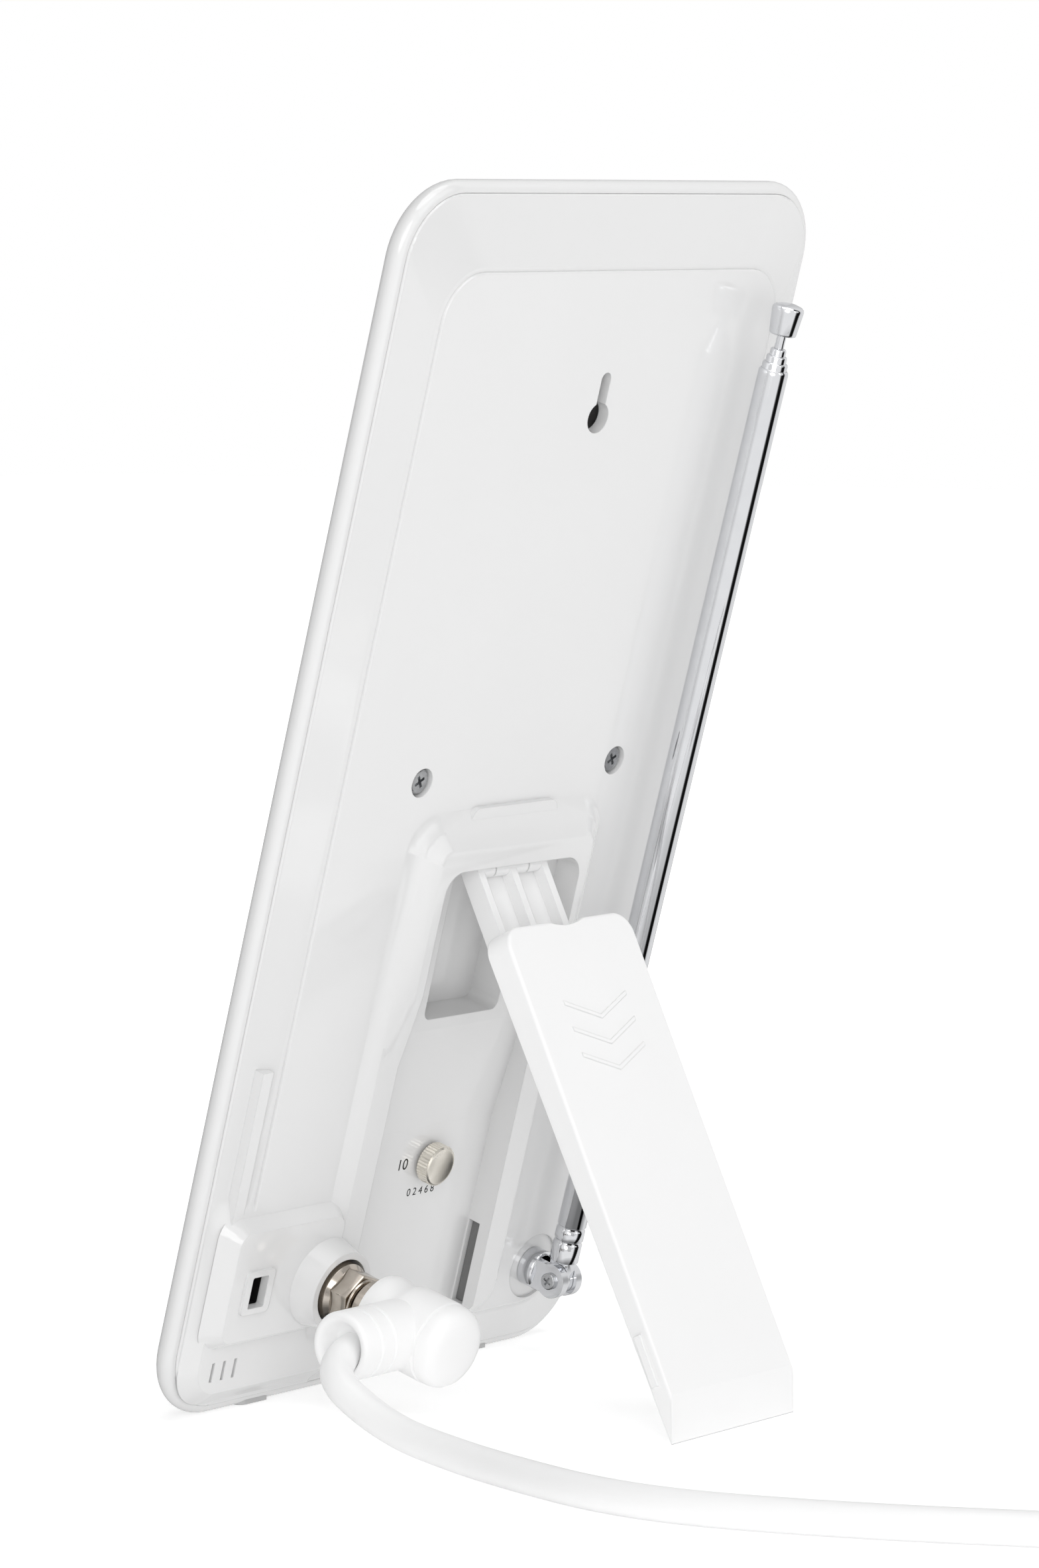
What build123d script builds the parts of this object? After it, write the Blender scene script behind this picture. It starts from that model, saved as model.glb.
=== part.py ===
"""Indoor television antenna: flat leaning housing, folding stand, telescopic rod and cable."""

import os
from math import cos, radians, sin, tan

from build123d import *

# Lean of the housing and of the opened stand, in degrees from upright
lean = 16.5
stand_lean = 24.75

# Front cover: a shallow tray with a raised front
cover_width = 133.2
cover_height = 265.0
cover_corner = 16.0
rim_depth = 5.0
rim_width = 2.2
rim_back_round = 2.0
rim_front_round = 2.9
crown_inset = 9.0
crown_depth = 8.8
wall = 2.0

# Rear cover: sloped band, raised glossy panel and lower ledge
ledge_height = 0.5
band_top = 3.3
band_width = 9.2
panel_top = 4.0
panel_half_width = 54.0
panel_head = 15.2
panel_foot = 9.8
panel_corner = 10.5
ledge_half_width = 62.3
ledge_foot = 5.0
ledge_head = 48.0
roof = 1.6
seam_gap = 0.05

# Raised back of the stand channel
stand_x = 1.5
hump_half_width = 31.6
hump_head = 132.3
hump_foot = 12.0
hump_side_slope = 1.5
ridge_top = 6.3
hump_top = 8.8
hump_ramp_low = 77.0
hump_ramp_high = 93.0

# Channel for the folded leg and the deeper pocket for the arm
leg_width = 41.0
leg_side_gap = 1.4
channel_head = 120.5
channel_floor_low = 0.0
channel_floor_high = 2.5
channel_corner = 5.0
arm_width = 22.7
arm_side_gap = 0.65
pocket_foot = 84.5
pocket_floor = -5.3
well_wall = 2.0
well_floor = 1.3
latch_low = 14.5
latch_high = 33.5

# Hinge of the stand, measured up the housing and out of it
hinge_v = 127.0
hinge_w = -1.0
pin_radius = 1.25
pin_gap = 0.05
barrel_radius = 3.0

# Arm of the stand, measured down from the hinge and out of the arm
arm_length = 40.5
arm_back = -2.9
arm_plate = 1.8
arm_face = 1.7
arm_rib = 2.0
stop_bar_s = 10.6
stop_bar_radius = 1.75
slider_start = 31.0
slider_length = 8.5
slider_stem = 9.0
slider_width = 14.0
slider_head = 1.9

# Leg of the stand
leg_top_s = 28.9
leg_face = 10.4
leg_top_depth = 6.5
leg_wall = 1.7
leg_travel = 17.0
leg_foot_reach = 98.0
slide_gap = 0.2
tab_height = 11.0

# Gain control
knob_x = 4.8
knob_v = 49.7
knob_radius = 4.55
knob_low = 0.8
knob_high = 3.8
knob_teeth = 24
shaft_radius = 2.0

# Fasteners and hanging slot
screw_x = 1.8
screw_pitch = 63.0
screw_v = 139.5
screw_head_radius = 2.8
screw_well_radius = 3.15
key_drop = 48.6
key_radius = 3.25
key_slot = 3.0
key_length = 9.7

# Signal socket, its boss and the power socket
socket_x = -31.0
socket_v = 30.0
boss_base_radius = 10.5
boss_top_radius = 8.7
boss_top = 12.5
boss_bore = 7.2
boss_floor = 5.0
thread_radius = 4.7
thread_top = 15.0
block_top = 7.0
port_inset = 14.7
port_v = 31.1
port_width = 4.8
port_height = 7.0
port_lip = 0.6
port_seat = 5.6

# Circuit board inside
board_back = -3.4
board_thickness = 1.6
board_inset = 11.6
board_right = 18.0
board_height = 58.0
board_v = 44.0
board_screw_radius = 1.0

# Plug of the cable
nut_flats = 11.0
nut_low = 9.6
nut_ring_top = 14.0
nut_top = 18.6
core_radius = 3.5
core_collar_low = 20.0
core_collar_top = 23.0
elbow_top = 45.6
elbow_radius = 9.0
branch_w = 33.3
branch_radius = 7.3
branch_reach = 23.6
cable_seat = 14.0
cable_diameter = 6.9

# Telescopic rod
post_inset = 21.8
post_v = 20.6
post_radius = 2.5
collar_radius = 4.4
collar_top = 7.2
rod_w = 11.8
rod_tilt = 0.75
tube_radius = 3.2
tube_wall = 0.4
stage_gap = 0.1
stage_count = 4
stage_step = 1.5
tube_start = 4.7
tube_end = 207.6
tip_radius = 1.0
cap_length = 6.6
cap_low_radius = 2.9
cap_top_radius = 3.4
fork_radius = 3.8
tongue = 2.6

# Coil of the cable that lies behind, its tie and its far plug
coil_turns_wide = 2
coil_radius = 38.0
coil_x = 4.0
coil_y = 200.0
tie_width = 9.0
tie_sheet = 0.5
far_plug_length = 27.0

# Soft pads under the lower edge
pad_x = 36.0
pad_length = 9.0
pad_width = 3.2
pad_depth = 1.0
pad_drop = 0.25

# Places that follow the edges of the covers
port_x = port_inset - cover_width / 2
board_left = board_inset - cover_width / 2
board_x = (board_left + board_right) / 2
board_width = board_right - board_left
post_x = cover_width / 2 - post_inset
key_v = cover_height - key_drop
key_top = key_v + key_length

# Frames of the housing and the stand
c_lean = cos(radians(lean))
s_lean = sin(radians(lean))
c_leg = cos(radians(stand_lean))
s_leg = sin(radians(stand_lean))
crown_low_y = crown_inset * s_lean - crown_depth * c_lean
shift_y = -(leg_foot_reach + crown_low_y) / 2
edge_low_z = rim_back_round * (c_lean + s_lean - 1)
shift_z = pad_drop - edge_low_z
pad_y = shift_y + rim_back_round * (s_lean - c_lean)
back = Plane(origin=(0, shift_y, shift_z), x_dir=(-1, 0, 0), z_dir=(0, c_lean, -s_lean))
outward = Axis(back.origin, back.z_dir)


def at(x, v, w):
    """World point from housing coordinates: across, up and out of the back."""
    return back.from_local_coords((x, v, w))


hinge = at(stand_x, hinge_v, hinge_w)
arm_side = Plane(origin=hinge, x_dir=(0, s_leg, -c_leg), z_dir=(1, 0, 0))
arm_front = Plane(origin=hinge, x_dir=(-1, 0, 0), z_dir=(0, c_leg, s_leg))
arm_out = Axis(hinge, arm_front.z_dir)
arm_down = Axis(hinge, -arm_front.y_dir)

# Front cover
seam_width = cover_width - 2 * rim_width
seam_height = cover_height - 2 * rim_width
seam_corner = cover_corner - rim_width
tray_floor = -(rim_depth - wall)
crown_floor = -(crown_depth - wall)
boss_centres = [(screw_x - screw_pitch / 2, screw_v), (screw_x + screw_pitch / 2, screw_v)]
element_half = 40.0
element_low = hinge_v + 33.0
element_high = cover_height - 25.0
element_posts = [(x, v) for v in (element_low, element_high) for x in (-element_half, element_half)]
element_w = -3.4
element_sheet = 0.5
stake_radius = 1.0

with BuildPart() as front_cover:
    with BuildSketch(back):
        with Locations((0, cover_height / 2)):
            RectangleRounded(cover_width, cover_height, cover_corner)
    extrude(amount=-rim_depth)
    fillet(front_cover.faces().sort_by(outward)[-1].edges(), rim_back_round)
    fillet(front_cover.faces().sort_by(outward)[0].edges(), rim_front_round)
    with BuildSketch(back.offset(-rim_depth)):
        with Locations((0, cover_height / 2)):
            RectangleRounded(
                cover_width - 2 * rim_front_round - 0.4,
                cover_height - 2 * rim_front_round - 0.4,
                cover_corner - rim_front_round - 0.2,
            )
    with BuildSketch(back.offset(-crown_depth)):
        with Locations((0, cover_height / 2)):
            RectangleRounded(
                cover_width - 2 * crown_inset,
                cover_height - 2 * crown_inset,
                cover_corner - crown_inset,
            )
    loft()
    with BuildSketch(back):
        with Locations((0, cover_height / 2)):
            RectangleRounded(seam_width, seam_height, seam_corner)
    extrude(amount=tray_floor, mode=Mode.SUBTRACT)
    with BuildSketch(back.offset(tray_floor)):
        with Locations((0, cover_height / 2)):
            RectangleRounded(
                cover_width - 2 * crown_inset - wall,
                cover_height - 2 * crown_inset - wall,
                cover_corner - crown_inset - wall / 2,
            )
    extrude(amount=crown_floor - tray_floor, mode=Mode.SUBTRACT)
    with BuildSketch(back.offset(crown_floor)):
        with Locations(*boss_centres):
            Circle(screw_well_radius + 0.6)
    extrude(amount=tray_floor - crown_floor)
    with BuildSketch(back.offset(crown_floor)):
        with Locations(*element_posts):
            Circle(2.0)
    extrude(amount=element_w - crown_floor)
    with BuildSketch(back.offset(element_w)):
        with Locations(*element_posts):
            Circle(stake_radius)
    extrude(amount=element_sheet + 0.4)
    with BuildSketch(back.offset(crown_floor)):
        with Locations(*boss_centres):
            Circle(1.15)
    extrude(amount=tray_floor - crown_floor, mode=Mode.SUBTRACT)
    with BuildSketch(Plane.XY):
        with Locations((-pad_x, pad_y), (pad_x, pad_y)):
            SlotOverall(pad_length, pad_width)
    extrude(amount=pad_depth, mode=Mode.SUBTRACT)

# Soft pads let into the lower edge
with BuildPart() as bottom_pads:
    with BuildSketch(Plane.XY):
        with Locations((-pad_x, pad_y), (pad_x, pad_y)):
            SlotOverall(pad_length, pad_width)
    extrude(amount=pad_depth)

# Rear cover
channel_half = leg_width / 2 + leg_side_gap
pocket_half = arm_width / 2 + arm_side_gap
bay_head = hinge_v + barrel_radius + 0.8
hump_middle = (hump_head + hump_foot) / 2
ridge_rise = ridge_top - panel_top
hump_rise = hump_top - panel_top
ramp_foot = hump_ramp_low - (hump_ramp_high - hump_ramp_low)
block_left = 3.8 - cover_width / 2
block_right = -24.6
block_low = 17.0
block_high = 47.6
block_rise = block_top - panel_top
post_centres = [
    (board_left + 5.0, board_v + 25.0),
    (board_right - 8.0, board_v + 25.0),
    (board_right - 8.0, board_v - 25.0),
    (board_right - 32.0, board_v - 25.0),
]
vent_centres = [(port_x + step, 12.25) for step in (-5.0, -1.6, 1.8)]

channel_side = Plane(origin=at(stand_x, 0, 0), x_dir=back.y_dir, z_dir=(-1, 0, 0))

with BuildPart() as rear_cover:
    # Lip that drops into the front cover, and the sloped band
    with BuildSketch(back.offset(tray_floor)):
        with Locations((0, cover_height / 2)):
            RectangleRounded(
                seam_width - 2 * seam_gap, seam_height - 2 * seam_gap, seam_corner - seam_gap
            )
    extrude(amount=ledge_height - tray_floor)
    fillet(rear_cover.faces().sort_by(outward)[-1].edges(), 0.4)
    with BuildSketch(back.offset(ledge_height)):
        with Locations((0, cover_height / 2)):
            RectangleRounded(seam_width - 1.2, seam_height - 1.2, seam_corner - 0.6)
    with BuildSketch(back.offset(band_top)):
        with Locations((0, (cover_height - rim_width - band_width - 5.0 + ledge_foot + 6.0) / 2)):
            RectangleRounded(
                seam_width - 2 * band_width,
                cover_height - rim_width - band_width - 5.0 - ledge_foot - 6.0,
                panel_corner + 1.2,
            )
    loft()
    # Glossy panel
    panel_high = cover_height - rim_width - panel_head
    with BuildSketch(back.offset(roof)):
        with Locations((0, (panel_high + panel_foot + rim_width) / 2)):
            RectangleRounded(
                2 * panel_half_width, panel_high - panel_foot - rim_width, panel_corner
            )
    extrude(amount=panel_top - roof)
    fillet(rear_cover.faces().sort_by(outward)[-1].edges(), 0.4)
    # Lower ledge on the socket side, with sides that slope to the seam
    with BuildSketch(back.offset(ledge_height)):
        with Locations((-(ledge_half_width + 1.4) / 2, (rim_width + 1.0 + ledge_head + 8.0) / 2)):
            RectangleRounded(ledge_half_width + 1.4, ledge_head + 8.0 - rim_width - 1.0, 9.0)
    with BuildSketch(back.offset(panel_top)):
        with Locations((-ledge_half_width / 2, (ledge_foot + rim_width + ledge_head) / 2)):
            RectangleRounded(ledge_half_width - 2.0, ledge_head - ledge_foot - rim_width, 6.5)
    loft()
    # Rail strip beside the panel
    with BuildSketch(back.offset(ledge_height)):
        with Locations((-58.85, 61.0)):
            Rectangle(3.1, 36.6)
    extrude(amount=panel_top - ledge_height)
    # Raised back of the stand channel: low ridges, then the full height above the ramps
    with BuildSketch(back.offset(panel_top)):
        with Locations((stand_x, hump_middle)):
            RectangleRounded(2 * hump_half_width, hump_head - hump_foot, 8.0)
    with BuildSketch(back.offset(ridge_top)):
        with Locations((stand_x, hump_middle)):
            RectangleRounded(
                2 * (hump_half_width - hump_side_slope * ridge_rise),
                hump_head - hump_foot - 2 * hump_side_slope * ridge_rise,
                5.0,
            )
    loft()
    with BuildSketch(back.offset(panel_top)):
        with Locations((stand_x, (hump_head + ramp_foot) / 2)):
            RectangleRounded(2 * hump_half_width, hump_head - ramp_foot, 8.0)
    with BuildSketch(back.offset(hump_top)):
        with Locations(
            (stand_x, (hump_head - hump_side_slope * hump_rise + hump_ramp_high) / 2)
        ):
            RectangleRounded(
                2 * (hump_half_width - hump_side_slope * hump_rise),
                hump_head - hump_side_slope * hump_rise - hump_ramp_high,
                3.0,
            )
    loft()
    # Socket block and its boss
    with BuildSketch(back.offset(panel_top - 1.0)):
        with Locations(((block_left + block_right) / 2, (block_low + block_high) / 2)):
            RectangleRounded(block_right - block_left, block_high - block_low, 5.0)
    with BuildSketch(back.offset(block_top)):
        with Locations(((block_left + block_right) / 2, (block_low + block_high) / 2)):
            RectangleRounded(
                block_right - block_left - 2 * block_rise,
                block_high - block_low - 2 * block_rise,
                3.0,
            )
    loft()
    with BuildSketch(back.offset(panel_top - 1.0)):
        with Locations((socket_x, socket_v)):
            Circle(boss_base_radius + 0.4)
    with BuildSketch(back.offset(boss_top)):
        with Locations((socket_x, socket_v)):
            Circle(boss_top_radius)
    loft()
    with BuildSketch(back.offset(block_top - 1.0)):
        with Locations((port_x, port_v)):
            RectangleRounded(port_width + 3.8, port_height + 2.8, 1.2)
    extrude(amount=1.0 + port_lip)
    # Hollow inside, kept thick under the channel
    with BuildSketch(back.offset(tray_floor)):
        with Locations((0, cover_height / 2)):
            RectangleRounded(
                seam_width - 2 * wall - 0.6, seam_height - 2 * wall - 0.6, seam_corner - wall
            )
    extrude(amount=channel_floor_low - 1.5 - tray_floor, mode=Mode.SUBTRACT)
    with BuildSketch(back.offset(tray_floor)):
        with Locations((0, cover_height / 2 + 2)):
            RectangleRounded(seam_width - 6 * wall, seam_height - 8 * wall, seam_corner - 3 * wall)
        with Locations((stand_x, channel_head / 2)):
            Rectangle(
                2 * (channel_half + well_wall),
                channel_head + 2 * well_wall + 14,
                mode=Mode.SUBTRACT,
            )
    extrude(amount=roof - 0.3 - tray_floor, mode=Mode.SUBTRACT)
    # Well of the arm pocket, screw posts and board posts
    with BuildSketch(back.offset(pocket_floor - well_floor)):
        with Locations((stand_x, (pocket_foot + bay_head) / 2)):
            RectangleRounded(
                2 * (pocket_half + well_wall), bay_head - pocket_foot + 2 * well_wall, 2.5
            )
    extrude(amount=ridge_top - 1.0 - pocket_floor + well_floor)
    with BuildSketch(back.offset(tray_floor)):
        with Locations(*boss_centres):
            Circle(screw_well_radius + 1.2)
        with Locations((post_x, post_v)):
            Circle(5.0)
    extrude(amount=roof - tray_floor)
    with BuildSketch(back.offset(board_back)):
        with Locations(*post_centres):
            Circle(2.6)
    extrude(amount=roof - board_back)
    # Channel, arm pocket and hinge bay
    with BuildSketch(channel_side):
        with BuildLine():
            Polyline(
                (-1.0, channel_floor_low),
                (58.0, channel_floor_low),
                (82.0, channel_floor_high),
                (channel_head - channel_corner, channel_floor_high),
                (channel_head - channel_corner, hump_top + 4.0),
                (-1.0, hump_top + 4.0),
                close=True,
            )
        make_face()
    extrude(amount=channel_half, both=True, mode=Mode.SUBTRACT)
    with BuildSketch(back.offset(channel_floor_high)):
        with Locations((stand_x, channel_head - 20.0)):
            RectangleRounded(2 * channel_half, 40.0, channel_corner)
    extrude(amount=hump_top, mode=Mode.SUBTRACT)
    with BuildSketch(back.offset(pocket_floor)):
        with Locations((stand_x, (pocket_foot + channel_head + 1.0) / 2)):
            RectangleRounded(2 * pocket_half, channel_head + 1.0 - pocket_foot, 2.0)
    extrude(amount=channel_floor_high + 1.0 - pocket_floor, mode=Mode.SUBTRACT)
    with BuildSketch(channel_side):
        with BuildLine():
            Polyline(
                (channel_head - 3.0, pocket_floor),
                (bay_head, pocket_floor),
                (bay_head, hinge_w + barrel_radius + 1.3),
                (channel_head + 4.0, hump_top - 2.6),
                (channel_head, hump_top - 1.4),
                (channel_head - 3.0, hump_top - 1.4),
                close=True,
            )
        make_face()
    extrude(amount=pocket_half, both=True, mode=Mode.SUBTRACT)
    with BuildSketch(Plane(origin=hinge, x_dir=back.y_dir, z_dir=(1, 0, 0))):
        Circle(pin_radius)
    extrude(amount=pocket_half + well_wall - 0.4, both=True, mode=Mode.SUBTRACT)
    # Latch slots in the channel walls
    with BuildSketch(back.offset(0.3)):
        with Locations((stand_x, (latch_low + latch_high) / 2)):
            Rectangle(2 * (channel_half + 1.8), latch_high - latch_low)
    extrude(amount=3.0, mode=Mode.SUBTRACT)
    # Hole of the gain control, hanging slot and housing screws
    with BuildSketch(back.offset(tray_floor)):
        with Locations((knob_x, knob_v)):
            Circle(shaft_radius + 0.6)
    extrude(amount=8.0, mode=Mode.SUBTRACT)
    with BuildSketch(back.offset(tray_floor)):
        with Locations((screw_x, key_v)):
            Circle(key_radius)
        with Locations((screw_x, (key_v + key_top - key_slot / 2) / 2)):
            Rectangle(key_slot, key_top - key_slot / 2 - key_v)
        with Locations((screw_x, key_top - key_slot / 2)):
            Circle(key_slot / 2)
    extrude(amount=8.0, mode=Mode.SUBTRACT)
    with BuildSketch(back.offset(panel_top)):
        with Locations(*boss_centres):
            Circle(screw_well_radius)
    extrude(amount=-2.4, mode=Mode.SUBTRACT)
    with BuildSketch(back.offset(tray_floor)):
        with Locations(*boss_centres):
            Circle(1.6)
    extrude(amount=8.0, mode=Mode.SUBTRACT)
    # Bore of the boss, port opening, vent slots and the seat of the rod post
    with BuildSketch(back.offset(boss_floor)):
        with Locations((socket_x, socket_v)):
            Circle(boss_bore)
    extrude(amount=8.0, mode=Mode.SUBTRACT)
    with BuildSketch(back.offset(tray_floor)):
        with Locations((socket_x, socket_v)):
            Circle(thread_radius + 0.9)
        with Locations((port_x, port_v)):
            Rectangle(port_width + 1.6, port_height + 1.6)
        with Locations((post_x, post_v)):
            Circle(post_radius + pin_gap)
    extrude(amount=port_seat - tray_floor, mode=Mode.SUBTRACT)
    with BuildSketch(back.offset(port_seat)):
        with Locations((port_x, port_v)):
            RectangleRounded(port_width, port_height, 0.4)
    extrude(amount=4.0, mode=Mode.SUBTRACT)
    with BuildSketch(back.offset(board_back)):
        with Locations(*post_centres):
            Circle(board_screw_radius)
    extrude(amount=2.8, mode=Mode.SUBTRACT)
    with BuildSketch(back.offset(panel_top - 1.6)):
        with Locations(*vent_centres):
            Rectangle(0.8, 4.3)
    extrude(amount=3.0, mode=Mode.SUBTRACT)
    with BuildSketch(back.offset(panel_top - 0.7)):
        with Locations((post_x, post_v)):
            Circle(7.5)
    extrude(amount=3.0, mode=Mode.SUBTRACT)

# Housing screws: pan heads with a cross recess
with BuildPart() as housing_screws:
    with BuildSketch(back.offset(tray_floor - 3.0)):
        with Locations(*boss_centres):
            Circle(1.15)
    extrude(amount=panel_top - 2.4 - tray_floor + 3.0)
    with BuildSketch(back.offset(panel_top - 2.4)):
        with Locations(*boss_centres):
            Circle(screw_head_radius)
    extrude(amount=1.7)
    fillet(housing_screws.faces().sort_by(outward)[-2:].edges(), 0.6)
    with BuildSketch(back.offset(panel_top - 0.7)):
        with Locations(*boss_centres):
            Rectangle(2.9, 0.7, rotation=30)
            Rectangle(0.7, 2.9, rotation=30)
    extrude(amount=-1.1, mode=Mode.SUBTRACT)

# Circuit board with its shield, gain control and sockets
with BuildPart() as circuit_board:
    with BuildSketch(back.offset(board_back)):
        with Locations((board_x, board_v)):
            RectangleRounded(board_width, board_height, 2.0)
        with Locations(*post_centres):
            Circle(board_screw_radius + 0.15, mode=Mode.SUBTRACT)
    extrude(amount=-board_thickness)

with BuildPart() as board_screws:
    with BuildSketch(back.offset(board_back - board_thickness)):
        with Locations(*post_centres):
            Circle(2.0)
    extrude(amount=-1.1)
    with BuildSketch(back.offset(board_back - board_thickness)):
        with Locations(*post_centres):
            Circle(board_screw_radius)
    extrude(amount=board_thickness + 2.6)

with BuildPart() as shield_can:
    with BuildSketch(back.offset(board_back)):
        with Locations((-38.0, 57.0)):
            Rectangle(21.0, 15.0)
    extrude(amount=4.2)
    with BuildSketch(back.offset(board_back)):
        with Locations((-38.0, 57.0)):
            Rectangle(20.4, 14.4)
    extrude(amount=3.9, mode=Mode.SUBTRACT)

with BuildPart() as gain_control:
    with BuildSketch(back.offset(board_back)):
        with Locations((knob_x, knob_v)):
            RectangleRounded(9.6, 9.6, 1.5)
    extrude(amount=channel_floor_low - 1.7 - board_back)
    with BuildSketch(back.offset(channel_floor_low - 1.7)):
        with Locations((knob_x, knob_v)):
            Circle(shaft_radius)
    extrude(amount=knob_low + 1.6 - channel_floor_low + 1.7)

with BuildPart() as gain_knob:
    with BuildSketch(back.offset(knob_low)):
        with Locations((knob_x, knob_v)):
            Circle(knob_radius)
    extrude(amount=knob_high - knob_low)
    fillet(gain_knob.faces().sort_by(outward)[-1].edges(), 0.35)
    with BuildSketch(back.offset(knob_low)):
        with Locations((knob_x, knob_v)):
            with PolarLocations(knob_radius + 0.15, knob_teeth):
                Circle(0.4)
    extrude(amount=knob_high - knob_low - 0.5, mode=Mode.SUBTRACT)
    with BuildSketch(back.offset(knob_low)):
        with Locations((knob_x, knob_v)):
            Circle(shaft_radius + pin_gap)
    extrude(amount=1.65, mode=Mode.SUBTRACT)
    with BuildSketch(back.offset(knob_high - 0.3)):
        with Locations((knob_x, knob_v + knob_radius - 1.6)):
            Rectangle(0.7, 1.8)
    extrude(amount=1.0, mode=Mode.SUBTRACT)

with BuildPart() as signal_socket:
    with BuildSketch(back.offset(board_back)):
        with Locations((socket_x, socket_v)):
            Rectangle(12.0, 12.0)
    extrude(amount=roof - 0.5 - board_back)
    with BuildSketch(back.offset(roof - 0.5)):
        with Locations((socket_x, socket_v)):
            Circle(thread_radius + 0.8)
    extrude(amount=boss_floor - roof + 0.5)
    with BuildSketch(back.offset(boss_floor)):
        with Locations((socket_x, socket_v)):
            Circle(thread_radius)
    extrude(amount=thread_top - boss_floor)
    chamfer(signal_socket.faces().sort_by(outward)[-1].edges(), 0.5)
    with BuildSketch(back.offset(thread_top)):
        with Locations((socket_x, socket_v)):
            Circle(core_radius - 0.1)
    extrude(amount=-6.4, mode=Mode.SUBTRACT)

with BuildPart() as socket_insulator:
    with BuildSketch(back.offset(thread_top - 6.4)):
        with Locations((socket_x, socket_v)):
            Circle(core_radius - 0.1)
            Circle(0.6, mode=Mode.SUBTRACT)
    extrude(amount=5.0)

with BuildPart() as power_socket:
    with BuildSketch(back.offset(board_back)):
        with Locations((port_x, port_v)):
            Rectangle(port_width + 1.4, port_height + 1.4)
    extrude(amount=port_seat - 0.1 - board_back)
    with BuildSketch(back.offset(port_seat - 0.1)):
        with Locations((port_x, port_v)):
            Rectangle(port_width + 0.2, port_height + 0.2)
    extrude(amount=-5.6, mode=Mode.SUBTRACT)

with BuildPart() as power_contacts:
    with BuildSketch(back.offset(port_seat - 5.7)):
        with Locations((port_x, port_v)):
            Rectangle(1.2, port_height - 1.6)
    extrude(amount=4.6)

# Flat loop inside the upper half, with its strip down to the board
loop_v = (element_low + element_high) / 2
loop_rise = element_high - element_low
loop_strip = 8.0
lead_x = -22.0
with BuildPart() as loop_element:
    with BuildSketch(back.offset(element_w)):
        with Locations((0, loop_v)):
            RectangleRounded(2 * element_half + loop_strip, loop_rise + loop_strip, 10.0)
            RectangleRounded(
                2 * element_half - loop_strip, loop_rise - loop_strip, 5.0, mode=Mode.SUBTRACT
            )
        with Locations((lead_x, (element_low + board_v + board_height / 2 - 4) / 2)):
            Rectangle(4.0, element_low - board_v - board_height / 2 + 4)
        with Locations(*element_posts):
            Circle(stake_radius + 0.05, mode=Mode.SUBTRACT)
    extrude(amount=element_sheet)

# Strip from the board to the post of the rod
contact_start = board_right - 4.5
with BuildPart() as rod_contact:
    with BuildSketch(back.offset(board_back)):
        with Locations(((contact_start + post_x) / 2, post_v)):
            Rectangle(post_x - contact_start, 4.0)
        with Locations((post_x, post_v)):
            Circle(4.3)
            Circle(post_radius + pin_gap, mode=Mode.SUBTRACT)
    extrude(amount=tray_floor - board_back)

# Stand: arm with three ribs, stop bar, hinge barrel and slider
rib_x = (arm_width - arm_rib) / 2
slider_top = leg_face - leg_wall - slide_gap
with BuildPart() as stand_arm:
    with BuildSketch(arm_side):
        Circle(barrel_radius)
        with Locations((arm_length / 2, arm_back + arm_plate / 2)):
            Rectangle(arm_length, arm_plate)
    extrude(amount=arm_width / 2, both=True)
    with BuildSketch(arm_side):
        with Locations((arm_length / 2, (arm_back + arm_face) / 2)):
            Rectangle(arm_length, arm_face - arm_back)
    extrude(amount=arm_rib / 2, both=True)
    with BuildSketch(arm_side.offset(arm_width / 2 - arm_rib)):
        with Locations((arm_length / 2, (arm_back + arm_face) / 2)):
            Rectangle(arm_length, arm_face - arm_back)
    extrude(amount=arm_rib)
    with BuildSketch(arm_side.offset(-arm_width / 2)):
        with Locations((arm_length / 2, (arm_back + arm_face) / 2)):
            Rectangle(arm_length, arm_face - arm_back)
    extrude(amount=arm_rib)
    with BuildSketch(arm_side):
        with Locations((stop_bar_s, arm_face - stop_bar_radius + 0.2)):
            Circle(stop_bar_radius)
    extrude(amount=arm_width / 2, both=True)
    with BuildSketch(arm_front.offset(arm_back)):
        with Locations((0, -slider_start - slider_length / 2)):
            Rectangle(slider_stem, slider_length)
    extrude(amount=slider_top - slider_head - arm_back)
    with BuildSketch(arm_front.offset(slider_top - slider_head)):
        with Locations((0, -slider_start - slider_length / 2)):
            Rectangle(slider_width, slider_length)
    extrude(amount=slider_head)
    with BuildSketch(arm_front.offset(arm_face + 0.6)):
        with Locations((-5.4, -stop_bar_s), (5.4, -stop_bar_s)):
            Rectangle(0.45, 2 * stop_bar_radius + 0.6)
    extrude(amount=-2.2, mode=Mode.SUBTRACT)
    with BuildSketch(arm_side):
        Circle(pin_radius + pin_gap)
    extrude(amount=arm_width, both=True, mode=Mode.SUBTRACT)
    for side in (0, -1):
        end_edges = stand_arm.edges().filter_by(arm_out).group_by(arm_down)[-1]
        fillet(end_edges.sort_by(Axis.X)[side], 3.0)

with BuildPart() as hinge_pin:
    with BuildSketch(Plane(origin=hinge, x_dir=back.y_dir, z_dir=(1, 0, 0))):
        Circle(pin_radius)
    extrude(amount=pocket_half + well_wall - 0.4, both=True)

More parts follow.
